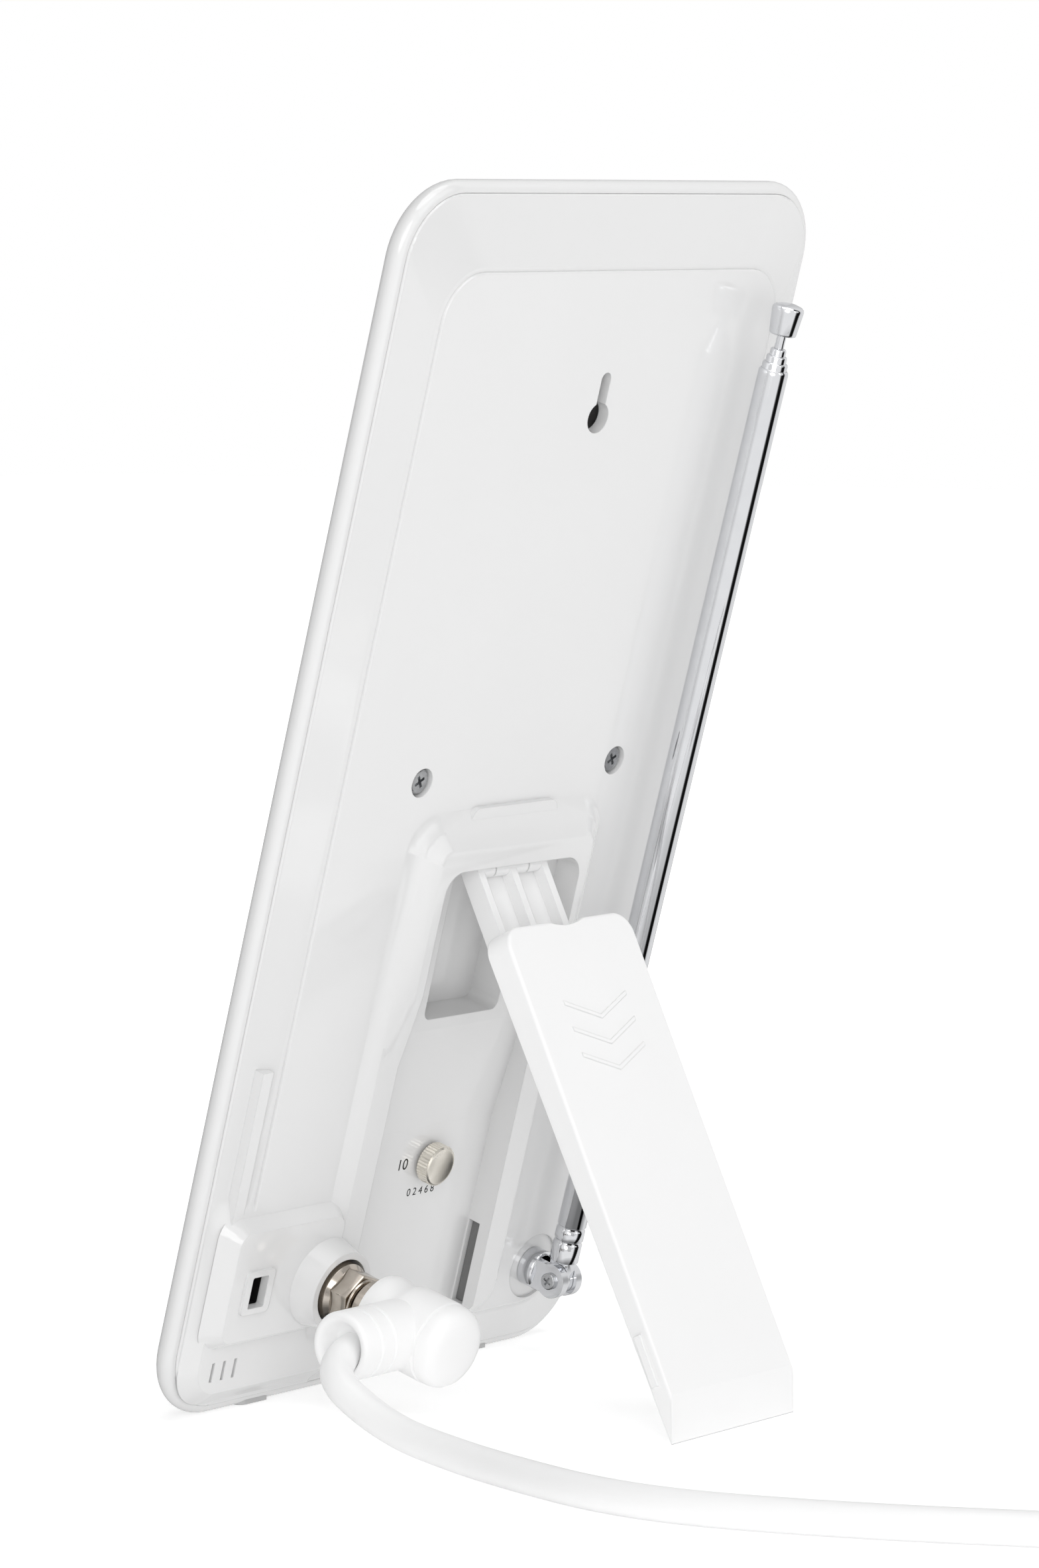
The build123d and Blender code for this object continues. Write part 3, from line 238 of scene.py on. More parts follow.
@dataclass(frozen=True)
class MouldedPlastic:
    """Moulded plastic: body colour, slight cloudiness and the grain of the mould."""

    name: str
    colour: str
    shade: str
    roughness: float
    mould: Mould
    ior: float = 1.53
    coat: float = 0.0
    coat_roughness: float = 0.05
    edge_mm: float = 0.0
    cloud_mm: float = 35.0
    smear_mm: float = 7.0
    smoothest: float = 0.85
    dullest: float = 1.15
    relief: float = 0.6

    def build(self) -> bpy.types.Material:
        """Build the material with colour, roughness and relief from its own noise."""
        material, tree = fresh_tree(self.name)
        where = add_node(tree, "ShaderNodeTexCoord", {}).outputs["Object"]
        cloud = add_noise(tree, where, self.cloud_mm, 3.0)
        body = add_blend(tree, cloud.outputs[0], self.colour, self.shade)
        smear = add_noise(tree, where, self.smear_mm, 4.0)
        rough = add_spread(
            tree, smear, self.roughness * self.smoothest, self.roughness * self.dullest
        )
        size, depth = self.mould.value
        grain = add_noise(tree, where, size, 2.0)
        relief = add_relief(tree, grain, self.relief, depth, self.edge_mm)
        shader = add_node(
            tree,
            "ShaderNodeBsdfPrincipled",
            {
                "Base Color": body.outputs[2],
                "Roughness": rough.outputs[0],
                "IOR": self.ior,
                "Coat Weight": self.coat,
                "Coat Roughness": self.coat_roughness,
                "Normal": relief.outputs[0],
            },
        )
        add_node(tree, "ShaderNodeOutputMaterial", {"Surface": shader.outputs[0]})
        return material


@dataclass(frozen=True)
class PlatedMetal:
    """Plated metal: its tint, polish and the fine lines left by turning or drawing."""

    name: str
    colour: str
    shade: str
    roughness: float
    line_mm: float
    line_depth_mm: float
    edge_mm: float = 0.0
    stain_mm: float = 4.0
    smoothest: float = 0.7
    dullest: float = 1.4
    relief: float = 0.5

    def build(self) -> bpy.types.Material:
        """Build the metal with tint and relief from its own noise."""
        material, tree = fresh_tree(self.name)
        where = add_node(tree, "ShaderNodeTexCoord", {}).outputs["Object"]
        stain = add_noise(tree, where, self.stain_mm, 4.0)
        tint = add_blend(tree, stain.outputs[0], self.colour, self.shade)
        rough = add_spread(
            tree, stain, self.roughness * self.smoothest, self.roughness * self.dullest
        )
        lines = add_noise(tree, where, self.line_mm, 3.0)
        relief = add_relief(tree, lines, self.relief, self.line_depth_mm, self.edge_mm)
        shader = add_node(
            tree,
            "ShaderNodeBsdfPrincipled",
            {
                "Base Color": tint.outputs[2],
                "Metallic": 1.0,
                "Roughness": rough.outputs[0],
                "Normal": relief.outputs[0],
            },
        )
        add_node(tree, "ShaderNodeOutputMaterial", {"Surface": shader.outputs[0]})
        return material


@dataclass
class Finishes:
    """All finishes of the antenna, built once."""

    # High-gloss white ABS from a polished mould: clear reflections, very slight waviness; its white
    # is set greyer than the satin parts, which are the same plastic, as painted shade on the
    # downward-facing covers
    shaded_gloss_abs: bpy.types.Material = field(
        default_factory=lambda: MouldedPlastic(
            "shaded_gloss_white_abs", "#E6E6E6", "#E3E3E3", 0.10, Mould.POLISHED, coat=0.35, edge_mm=0.3
        ).build()
    )
    # Satin white ABS from an eroded mould: fine grain, broad soft highlights
    satin_abs: bpy.types.Material = field(
        default_factory=lambda: MouldedPlastic(
            "satin_white_abs", "#F6F6F6", "#F3F3F3", 0.42, Mould.SATIN, edge_mm=0.3
        ).build()
    )
    # Flexible PVC of the plug moulding and jacket: soft sheen, slightly matt
    soft_pvc: bpy.types.Material = field(
        default_factory=lambda: MouldedPlastic(
            "soft_white_pvc", "#FAFAFA", "#F8F8F8", 0.38, Mould.SOFT, ior=1.5
        ).build()
    )
    # Grey silicone pads: matt
    grey_silicone: bpy.types.Material = field(
        default_factory=lambda: MouldedPlastic(
            "grey_silicone", "#C9C9C9", "#BFBFBF", 0.7, Mould.SOFT, ior=1.45
        ).build()
    )
    # Dark grey acetal of the power contacts; the same grey also stands as painted shade inside the
    # latch slots: matt and even
    grey_and_slot_shade: bpy.types.Material = field(
        default_factory=lambda: MouldedPlastic(
            "dark_grey_and_slot_shade", "#7E7E7E", "#747474", 0.5, Mould.SATIN
        ).build()
    )
    # Black phenolic of the control and the socket tongue; the same black also paints the shade in
    # the rod's crimp dimples
    black_phenolic_and_crimp_shade: bpy.types.Material = field(
        default_factory=lambda: MouldedPlastic(
            "black_phenolic_and_crimp_shade", "#1E1D1C", "#141414", 0.45, Mould.SATIN
        ).build()
    )
    # Lacquered glass-fibre laminate of the circuit board
    green_laminate: bpy.types.Material = field(
        default_factory=lambda: MouldedPlastic(
            "green_laminate", "#1F5B3A", "#184A2F", 0.35, Mould.SATIN
        ).build()
    )
    # Natural polyethylene insulator
    polyethylene: bpy.types.Material = field(
        default_factory=lambda: MouldedPlastic(
            "natural_polyethylene", "#E9E7DE", "#E2DFD3", 0.4, Mould.SOFT, ior=1.51
        ).build()
    )
    # Screen ink of the printed figures
    black_ink: bpy.types.Material = field(
        default_factory=lambda: MouldedPlastic(
            "black_screen_ink", "#141414", "#1E1E1E", 0.6, Mould.SATIN
        ).build()
    )
    # Bright chrome on drawn brass tube: mirror with faint drawing lines
    chrome: bpy.types.Material = field(
        default_factory=lambda: PlatedMetal(
            "bright_chrome", "#E3E4E6", "#D8D9DC", 0.06, 3.0, 0.0004, edge_mm=0.12
        ).build()
    )
    # Nickel on turned brass: warm and a little dull, with turning lines
    nickel: bpy.types.Material = field(
        default_factory=lambda: PlatedMetal(
            "warm_nickel", "#D2CBC2", "#A79D91", 0.13, 0.5, 0.002, edge_mm=0.1
        ).build()
    )
    # Pale anodised aluminium of the knob: silky, slightly warm
    aluminium: bpy.types.Material = field(
        default_factory=lambda: PlatedMetal(
            "pale_anodised_aluminium", "#F5F1E8", "#ECE6DA", 0.3, 0.4, 0.004
        ).build()
    )
    # Zinc-plated steel screws: grey, faintly mottled
    zinc: bpy.types.Material = field(
        default_factory=lambda: PlatedMetal(
            "zinc_plated_steel", "#C9CACB", "#A9AAAC", 0.26, 0.5, 0.006, edge_mm=0.1
        ).build()
    )
    # Tinned sheet of the shield and contacts
    tinplate: bpy.types.Material = field(
        default_factory=lambda: PlatedMetal(
            "tinned_steel_sheet", "#C4C2BC", "#B4B2AB", 0.3, 2.0, 0.004
        ).build()
    )
    # Bare copper sheet of the loop
    copper: bpy.types.Material = field(
        default_factory=lambda: PlatedMetal(
            "bare_copper_sheet", "#D79A78", "#C4825F", 0.3, 2.0, 0.004
        ).build()
    )


# Mesh helpers


def piece(
    name: str, mesh: bpy.types.Mesh, material: bpy.types.Material, body: str
) -> bpy.types.Object:
    """Link a finished mesh as a piece that rides on a body.

    Args:
        name: name of the piece.
        mesh: mesh in the row frame, in metres.
        material: its finish.
        body: body that it moves with.

    Returns:
        The new object, at the origin.
    """
    made = bpy.data.objects.new(name, mesh)
    bpy.context.scene.collection.objects.link(made)
    mesh.materials.clear()
    mesh.materials.append(material)
    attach(made, body)
    log.info("%s: %d faces on %s", name, len(mesh.polygons), body)
    return made


def closed_mesh(name: str, bm: bmesh.types.BMesh, sharp: float = 32.0) -> bpy.types.Mesh:
    """Turn a bmesh to a smooth-shaded mesh whose sharp edges stay sharp.

    Args:
        name: name of the mesh.
        bm: bmesh, freed here.
        sharp: angle in degrees from which an edge is sharp.

    Returns:
        The mesh.
    """
    for face in bm.faces:
        face.smooth = True
    mesh = bpy.data.meshes.new(name)
    bm.to_mesh(mesh)
    bm.free()
    mesh.set_sharp_from_angle(angle=radians(sharp))
    return mesh


def turned(
    profile: Profile, place: Matrix, steps: int = 96, closed: bool = False
) -> bmesh.types.BMesh:
    """Turn a profile about its own z axis, as on a lathe.

    Args:
        profile: radius and height of each corner, in millimetres.
        place: matrix that puts the turned shape in its place.
        steps: number of steps round the axis.
        closed: True where the last corner joins the first, as on a tube.

    Returns:
        The bmesh of the turned shape.
    """
    bm = bmesh.new()
    corners = [bm.verts.new((radius, 0.0, height)) for radius, height in profile]
    ends = corners[1:] + corners[:1] if closed else corners[1:]
    for first, second in zip(corners, ends):
        bm.edges.new((first, second))
    bmesh.ops.spin(
        bm,
        geom=bm.verts[:] + bm.edges[:],
        cent=(0, 0, 0),
        axis=(0, 0, 1),
        angle=2 * pi,
        steps=steps,
        use_merge=True,
    )
    bmesh.ops.remove_doubles(bm, verts=bm.verts, dist=TURNED_WELD)
    bmesh.ops.recalc_face_normals(bm, faces=bm.faces)
    bm.transform(place)
    return bm


def round_edges(bm: bmesh.types.BMesh, edges: list, width: float, segments: int) -> None:
    """Round edges of a shape.

    Args:
        bm: bmesh of the shape.
        edges: edges to round.
        width: radius of the rounding in millimetres.
        segments: number of strips in each rounding.
    """
    bmesh.ops.bevel(
        bm,
        geom=edges,
        offset=width,
        offset_type="OFFSET",
        segments=segments,
        profile=0.5,
        affect="EDGES",
        material=-1,
    )


def block(size: Point, place: Matrix, bevel: float) -> bmesh.types.BMesh:
    """Make a block with rounded edges.

    Args:
        size: its three sizes in millimetres.
        place: matrix that puts its centre in place.
        bevel: radius of its edges in millimetres.

    Returns:
        The bmesh of the block.
    """
    bm = bmesh.new()
    bmesh.ops.create_cube(bm, size=1.0)
    bmesh.ops.scale(bm, vec=size, verts=bm.verts)
    round_edges(bm, bm.edges[:], bevel, 3)
    bm.transform(place)
    return bm


def hexagon(
    flats: float, low: float, high: float, turn: float, place: Matrix
) -> bmesh.types.BMesh:
    """Make a hexagonal nut body whose corners are chamfered at both ends.

    Args:
        flats: width across the flats in millimetres.
        low: height of its lower end.
        high: height of its upper end.
        turn: angle of its first corner in degrees.
        place: matrix that puts it in place.

    Returns:
        The bmesh of the body.
    """
    corner_round = 0.25
    rim_chamfer = 0.45
    bm = bmesh.new()
    radius = flats / 2 / cos(radians(30))
    bmesh.ops.create_cone(
        bm, cap_ends=True, segments=6, radius1=radius, radius2=radius, depth=high - low
    )
    about_z = Matrix.Rotation(radians(turn), 3, "Z")
    bmesh.ops.rotate(bm, cent=(0, 0, 0), matrix=about_z, verts=bm.verts)
    bmesh.ops.translate(bm, vec=(0, 0, (low + high) / 2), verts=bm.verts)
    upright = [e for e in bm.edges if abs(e.verts[0].co.z - e.verts[1].co.z) > 0.5]
    round_edges(bm, upright, corner_round, 3)
    rims = [e for e in bm.edges if abs(e.verts[0].co.z - e.verts[1].co.z) < 0.001]
    round_edges(bm, rims, rim_chamfer, 2)
    bm.transform(place)
    return bm


def joined(shapes: list[bmesh.types.BMesh]) -> bmesh.types.BMesh:
    """Put several shapes in one bmesh and free the others."""
    whole = shapes[0]
    for shape in shapes[1:]:
        spare = bpy.data.meshes.new("spare")
        shape.to_mesh(spare)
        shape.free()
        whole.from_mesh(spare)
        bpy.data.meshes.remove(spare)
    return whole


def smooth_copy(
    node: str, name: str, material: bpy.types.Material, body: str
) -> bpy.types.Object:
    """Copy a constructed node as one welded, smooth-shaded mesh that stands for it.

    Creases between two wide flats stay sharp, and so do all steep edges.

    Args:
        node: node to copy.
        name: name of the new piece.
        material: its finish.
        body: body that it moves with.

    Returns:
        The new piece.
    """
    bm = bmesh.new()
    bm.from_mesh(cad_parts[node].data)
    bmesh.ops.remove_doubles(bm, verts=bm.verts, dist=COPY_WELD)
    limit = radians(FLAT_ANGLE)
    bmesh.ops.dissolve_limit(bm, angle_limit=limit, verts=bm.verts, edges=bm.edges)
    wide = {}
    for face in bm.faces:
        wide[face] = 2 * face.calc_area() / face.calc_perimeter() > WIDE_FLAT * MM
        face.smooth = True
    for edge in bm.edges:
        if len(edge.link_faces) == 2:
            flats = all(wide[face] for face in edge.link_faces)
            crease = radians(FLAT_CREASE if flats else STEEP_CREASE)
            edge.smooth = edge.calc_face_angle(0.0) < crease
    mesh = bpy.data.meshes.new(name)
    bm.to_mesh(mesh)
    bm.free()
    made = piece(name, mesh, material, body)
    even = made.modifiers.new("even_flats", "WEIGHTED_NORMAL")
    even.mode = "FACE_AREA"
    even.weight = 100
    even.keep_sharp = True
    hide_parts(node)
    return made


def dress(node: str, material: bpy.types.Material) -> None:
    """Give a constructed node that shows as it is its finish."""
    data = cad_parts[node].data
    data.materials.clear()
    data.materials.append(material)
    log.info("%s: keeps its shape, finish %s", node, material.name)


# The studio


@dataclass(frozen=True)
class Lamp:
    """A round soft lamp: its place and size in metres and its power in watts."""

    name: str
    place: Point
    size: float
    watts: float


@dataclass
class Studio:
    """Camera, white surroundings, floor and lamps."""

    focal_px: float = 8598.3
    height_px: int = 2367
    azimuth: float = 129.54
    elevation: float = 5.17
    roll: float = -0.72
    place: Point = (0.91105, 0.750731, 0.236849)
    # Greys that mirrors show, by direction from 0 at -180 degrees to 1 at 180 degrees
    bands: tuple[tuple[float, str], ...] = (
        (0.0, "#F4F4F4"),
        (0.10, "#C8C8C8"),
        (0.25, "#4A4A4A"),
        (0.36, "#7A7A7A"),
        (0.46, "#D0D0D0"),
        (0.54, "#FFFFFF"),
        (0.765, "#FFFFFF"),
        (0.79, "#5A5A5A"),
        (0.81, "#101010"),
        (0.878, "#181818"),
        (0.9, "#F0F0F0"),
        (1.0, "#F4F4F4"),
    )
    # Steep downward directions, where the bands fade to a share of their own grey
    dim_from: float = -0.62
    dim_to: float = -0.92
    dim_share: float = 0.2
    ambient: str = "#AEAEAE"
    # Glow of the floor, and the lift towards white that only the camera sees, by distance
    floor_half: float = 4.0
    floor_glow: float = 0.3
    near: float = 0.2
    near_lift: float = 0.12
    far: float = 0.8
    far_lift: float = 0.5
    lamp_aim: Point = (0.0, 0.0, 0.1)
    lamps: tuple[Lamp, ...] = (
        Lamp("overhead_softbox", (0.1, 0.45, 1.5), 1.4, 8.4),
        Lamp("rear_softbox", (-0.5, 1.4, 0.7), 1.0, 2.0),
        Lamp("camera_softbox", (1.05, 0.87, 0.42), 1.0, 5.5),
    )

    def build_camera(self) -> None:
        """Put the camera where the view was taken from."""
        a, e, r = radians(self.azimuth), radians(self.elevation), radians(self.roll)
        back = Vector((sin(a) * cos(e), -cos(a) * cos(e), sin(e)))
        right_level = Vector((cos(a), sin(a), 0.0))
        up_level = back.cross(right_level)
        right = right_level * cos(r) + up_level * sin(r)
        up = up_level * cos(r) - right_level * sin(r)
        lens = bpy.data.cameras.new("camera")
        lens.sensor_fit = "VERTICAL"
        lens.sensor_height = 24.0
        lens.lens = self.focal_px / self.height_px * lens.sensor_height
        lens.clip_start = 0.05
        lens.clip_end = 50.0
        camera = bpy.data.objects.new("camera", lens)
        turn = Matrix((right, up, back)).transposed().to_4x4()
        camera.matrix_world = Matrix.Translation(self.place) @ turn
        bpy.context.scene.collection.objects.link(camera)
        bpy.context.scene.camera = camera

    def build_surroundings(self) -> None:
        """Make the white room, with grey bands that only mirrors show."""
        world = bpy.data.worlds.new("white_room")
        world.use_nodes = True
        tree = world.node_tree
        tree.nodes.clear()
        ray = add_node(tree, "ShaderNodeLightPath", {})
        where = add_node(tree, "ShaderNodeTexCoord", {}).outputs["Generated"]
        split = add_node(tree, "ShaderNodeSeparateXYZ", {0: where})
        angle = add_node(
            tree,
            "ShaderNodeMath",
            {0: split.outputs[1], 1: split.outputs[0]},
            operation="ARCTAN2",
        )
        turn = add_node(
            tree, "ShaderNodeMapRange", {0: angle.outputs[0], 1: -pi, 2: pi, 3: 0.0, 4: 1.0}
        )
        bands = add_node(tree, "ShaderNodeValToRGB", {0: turn.outputs[0]})
        ramp = bands.color_ramp
        ramp.elements[0].position, code = self.bands[0]
        ramp.elements[0].color = linear(code)
        ramp.elements[1].position, code = self.bands[-1]
        ramp.elements[1].color = linear(code)
        for position, code in self.bands[1:-1]:
            ramp.elements.new(position).color = linear(code)
        fade = add_node(
            tree,
            "ShaderNodeMapRange",
            {0: split.outputs[2], 1: self.dim_to, 2: self.dim_from, 3: self.dim_share, 4: 1.0},
        )
        mirrored = add_node(
            tree,
            "ShaderNodeVectorMath",
            {0: bands.outputs[0], "Scale": fade.outputs[0]},
            operation="SCALE",
        )
        seen = add_node(
            tree,
            "ShaderNodeMix",
            {0: ray.outputs["Is Glossy Ray"], 6: linear(self.ambient), 7: mirrored.outputs[0]},
            data_type="RGBA",
        )
        lit = add_node(tree, "ShaderNodeBackground", {"Color": seen.outputs[2], "Strength": 1.0})
        plain = add_node(
            tree, "ShaderNodeBackground", {"Color": linear("#FFFFFF"), "Strength": 1.0}
        )
        mixed = add_node(
            tree,
            "ShaderNodeMixShader",
            {0: ray.outputs["Is Camera Ray"], 1: lit.outputs[0], 2: plain.outputs[0]},
        )
        add_node(tree, "ShaderNodeOutputWorld", {"Surface": mixed.outputs[0]})
        bpy.context.scene.world = world

    def build_floor(self) -> None:
        """Lay the plain white floor, which keeps the soft shadow and shows in no mirror."""
        bm = bmesh.new()
        bmesh.ops.create_grid(bm, x_segments=1, y_segments=1, size=self.floor_half)
        floor = bpy.data.objects.new("floor", closed_mesh("floor", bm))
        bpy.context.scene.collection.objects.link(floor)
        material, tree = fresh_tree("white_paper_floor")
        paper = add_node(tree, "ShaderNodeBsdfDiffuse", {"Color": linear("#FAFAFA")})
        ray = add_node(tree, "ShaderNodeLightPath", {})
        where = add_node(tree, "ShaderNodeTexCoord", {}).outputs["Object"]
        reach = add_node(tree, "ShaderNodeVectorMath", {0: where}, operation="LENGTH")
        away = {1: self.near, 2: self.far, 3: self.near_lift, 4: self.far_lift}
        rise = add_node(tree, "ShaderNodeMapRange", {0: reach.outputs["Value"], **away})
        lift = add_node(
            tree,
            "ShaderNodeMath",
            {0: ray.outputs["Is Camera Ray"], 1: rise.outputs[0], 2: self.floor_glow},
            operation="MULTIPLY_ADD",
        )
        glow = add_node(
            tree, "ShaderNodeEmission", {"Color": linear("#FFFFFF"), "Strength": lift.outputs[0]}
        )
        both = add_node(tree, "ShaderNodeAddShader", {0: paper.outputs[0], 1: glow.outputs[0]})
        add_node(tree, "ShaderNodeOutputMaterial", {"Surface": both.outputs[0]})
        floor.data.materials.append(material)
        floor.visible_glossy = False

    def build_lamps(self) -> None:
        """Hang the soft lamps: one above, one behind and one beside the camera."""
        for lamp in self.lamps:
            data = bpy.data.lights.new(lamp.name, "AREA")
            data.shape = "DISK"
            data.size = lamp.size
            data.energy = lamp.watts
            made = bpy.data.objects.new(lamp.name, data)
            turn = (Vector(lamp.place) - Vector(self.lamp_aim)).to_track_quat("Z", "Y")
            made.matrix_world = Matrix.Translation(lamp.place) @ turn.to_matrix().to_4x4()
            bpy.context.scene.collection.objects.link(made)

    def build(self) -> None:
        """Build the whole studio."""
        self.build_camera()
        self.build_surroundings()
        self.build_floor()
        self.build_lamps()
        bpy.context.scene.view_settings.view_transform = "Standard"


# The object


@dataclass
class Cable:
    """The coaxial cable: out of the plug, along the floor and into its coil."""

    diameter: float = 6.9
    coil_centre: tuple[float, float] = (4.0, 200.0)
    turn_radii: tuple[float, ...] = (41.45, 34.55, 31.1, 38.0, 38.0)
    layer_rise: float = 5.975
    leave_degrees: float = 24.0
    points_per_turn: int = 16
    # Shares of a turn at which the cable climbs to the upper layer and shifts to the next radius
    climb_from: float = 0.76
    shift_from: float = 0.88
    change_span: float = 0.12
    # Power of the allowance for control points, which lie outside the curve that they draw
    widening: float = 0.75

    def loose_route(self) -> list[Point]:
        """Points of the free stretch, in millimetres."""
        rest = self.diameter / 2
        exit_centre = LEAN.at(SOCKET_X, SOCKET_V, BRANCH_W)
        return [
            (exit_centre.x + 14.0, exit_centre.y, exit_centre.z),
            (62.2, exit_centre.y + 0.2, exit_centre.z - 1.9),
            (63.0, 13.4, 6.2),
            (65.8, 35.9, rest),
            (72.3, 58.5, rest),
            (76.5, 78.2, rest),
            (76.0, 97.9, rest),
            (69.6, 120.6, rest),
            (60.3, 144.5, rest),
            (51.4, 163.1, rest),
            (46.4, 176.6, rest),
            (45.4, 188.5, rest),
        ]

    def coil_route(self) -> list[Point]:
        """Points of the coiled stretch: two turns on the floor, then two on top of them."""
        turns = 4 + self.leave_degrees / 360
        steps = round(turns * self.points_per_turn)
        widen = 1 / cos(pi / self.points_per_turn) ** self.widening
        route = []
        for step in range(steps + 1):
            turn = turns * step / steps
            number = int(turn)
            share = turn - number
            radius = self.turn_radii[number]
            if number < 4 and share > self.shift_from:
                move = (share - self.shift_from) / self.change_span
                radius += (self.turn_radii[number + 1] - radius) * move
            height = 0.0
            if number > 1:
                height = self.layer_rise
            elif number == 1 and share > self.climb_from:
                height = self.layer_rise * min(1.0, (share - self.climb_from) / self.change_span)
            angle = radians(360 * turn)
            route.append(
                (
                    self.coil_centre[0] + radius * widen * cos(angle),
                    self.coil_centre[1] + radius * widen * sin(angle),
                    self.diameter / 2 + height,
                )
            )
        return route

    def tail_route(self) -> list[Point]:
        """Points of the tail that leaves the coil for the far plug."""
        x, y = self.coil_centre
        return [
            (x + 25.9, y + 31.4, 10.6),
            (x + 16.1, y + 41.6, 10.4),
            (x + 5.5, y + 48.8, 6.4),
            (x + 0.5, y + 51.7, 6.4),
            (x - 3.2, y + 53.8, 6.4),
        ]

    def build(self, finishes: Finishes, pieces: list) -> None:
        """Args:
            finishes: the finishes.
            pieces: the plug pieces on its two ends; not used.
        """
        points = self.loose_route() + self.coil_route() + self.tail_route()
        curve = bpy.data.curves.new("coaxial_cable", "CURVE")
        curve.dimensions = "3D"
        spline = curve.splines.new("NURBS")
        spline.points.add(len(points) - 1)
        for control, point in zip(spline.points, points):
            control.co = (point[0] * MM, point[1] * MM, point[2] * MM, 1.0)
        spline.order_u = 3
        spline.use_endpoint_u = True
        spline.resolution_u = 10
        curve.bevel_depth = self.diameter / 2 * MM
        curve.bevel_resolution = 8
        curve.use_fill_caps = True
        cable = bpy.data.objects.new("coaxial_cable", curve)
        bpy.context.scene.collection.objects.link(cable)
        curve.materials.append(finishes.soft_pvc)
        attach(cable, "housing")
        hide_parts("antenna_cable", "cable_coil", "cable_tail")
        log.info("coaxial_cable: %d points", len(points))


@dataclass
class Housing:
    """Front and rear covers with the screws, sockets, printed figures and dark sheets of painted
    shade in the latch slots.
    """

    channel_x: float = 1.5
    # Place, size and edge of the dark sheets that paint the shade inside the latch slots
    slot_shade_reach: float = 23.4
    slot_shade_v: float = 24.0
    slot_shade_w: float = 1.8
    slot_shade_size: Point = (0.5, 18.9, 2.85)
    slot_shade_edge: float = 0.12
    # Name, words, place across and up, and height of each printed line
    figures: tuple[tuple[str, str, float, float, float], ...] = (
        ("printed_ten", "10", -3.6, 48.6, 3.6),
        ("printed_scale", "0 2 4 6 8", 4.4, 42.0, 2.5),
    )
    ink_lift: float = 0.02
    ink_thickness: float = 0.01

    def build_covers(self, finishes: Finishes) -> None:
        """Dress the two covers, their screws and the pads."""
        # Both covers take the greyer white that paints the shade of the downward-facing back
        smooth_copy("rear_cover", "rear_shell", finishes.shaded_gloss_abs, "housing")
        smooth_copy("front_cover", "front_shell", finishes.shaded_gloss_abs, "housing")
        dress("bottom_pads", finishes.grey_silicone)
        smooth_copy("housing_screws", "cover_screws", finishes.zinc, "housing")

    def build_slot_shade(self, finishes: Finishes) -> None:
        """Set dark grey sheets in the two latch slots in the channel walls, as painted shade of
        their insides.
        """
        shapes = []
        for side in (-1, 1):
            x = self.channel_x + side * self.slot_shade_reach
            place = LEAN.matrix(x, self.slot_shade_v, self.slot_shade_w)
            shapes.append(block(self.slot_shade_size, place, self.slot_shade_edge))
        mesh = closed_mesh("latch_slot_shade", joined(shapes))
        piece("latch_slot_shade", mesh, finishes.grey_and_slot_shade, "housing")

    def build_figures(self, finishes: Finishes) -> None:
        """Print plain figures beside the gain knob."""
        for name, words, x, v, size in self.figures:
            text = bpy.data.curves.new(name, "FONT")
            text.body = words
            text.size = size
            text.align_x = "CENTER"
            text.extrude = self.ink_thickness
            holder = bpy.data.objects.new(name + "_text", text)
            bpy.context.scene.collection.objects.link(holder)
            bpy.context.view_layer.update()
            mesh = bpy.data.meshes.new_from_object(holder)
            bpy.data.objects.remove(holder)
            mesh.transform(LEAN.matrix(x, v, self.ink_lift))
            piece(name, mesh, finishes.black_ink, "housing")

    def build_sockets(self, finishes: Finishes) -> None:
        """Dress the sockets and everything inside the housing."""
        smooth_copy("signal_socket", "threaded_socket", finishes.nickel, "housing")
        dress("socket_insulator", finishes.polyethylene)
        dress("power_socket", finishes.black_phenolic_and_crimp_shade)
        dress("power_contacts", finishes.grey_and_slot_shade)
        dress("circuit_board", finishes.green_laminate)
        dress("board_screws", finishes.zinc)
        dress("shield_can", finishes.tinplate)
        dress("gain_control", finishes.black_phenolic_and_crimp_shade)
        dress("loop_element", finishes.copper)
        dress("rod_contact", finishes.tinplate)
        dress("hinge_pin", finishes.zinc)

    def build(self, finishes: Finishes) -> None:
        """Build the whole housing."""
        self.build_covers(finishes)
        self.build_slot_shade(finishes)
        self.build_figures(finishes)
        self.build_sockets(finishes)


@dataclass
class GainKnob:
    """The small straight-knurled knob."""

    x: float = 4.8
    v: float = 49.7
    radius: float = 4.55
    low: float = 0.8
    high: float = 3.8
    teeth: int = 40
    # Depth of a tooth's four steps round the rim, as shares of the radius
    tooth: tuple[float, ...] = (0.0, 0.024, 0.036, 0.024)

    def build(self, finishes: Finishes) -> None:
        """Build the knob: a knurled rim and a turned face with a shallow dish."""
        around = self.teeth * len(self.tooth)
        side = bmesh.new()
        bmesh.ops.create_circle(side, cap_ends=True, segments=around, radius=self.radius)
        made = bmesh.ops.extrude_face_region(side, geom=side.faces[:])
        top = [g for g in made["geom"] if isinstance(g, bmesh.types.BMVert)]
        bmesh.ops.translate(side, vec=(0, 0, self.high - self.low - 0.3), verts=top)
        for vert in side.verts:
            turn = Vector((1, 0)).angle_signed(vert.co.xy) / (2 * pi)
            vert.co.xy *= 1 - self.tooth[round(turn * around) % len(self.tooth)]
        bmesh.ops.recalc_face_normals(side, faces=side.faces)
        place = LEAN.matrix(self.x, self.v, self.low)
        side.transform(place)
        rise = self.high - self.low
        rim = self.radius
        face: Profile = [
            (0.0, rise - 0.4),
            (rim - 0.2, rise - 0.4),
            (rim - 0.2, rise - 0.28),
            (rim - 0.5, rise),
            (rim - 0.9, rise),
            (rim - 1.0, rise - 0.04),
            (0.0, rise - 0.04),
        ]
        bm = joined([side, turned(face, place, steps=around)])
        mesh = closed_mesh("knurled_knob", bm, 25.0)
        knob = piece("knurled_knob", mesh, finishes.aluminium, "knob")
        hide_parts("gain_knob")


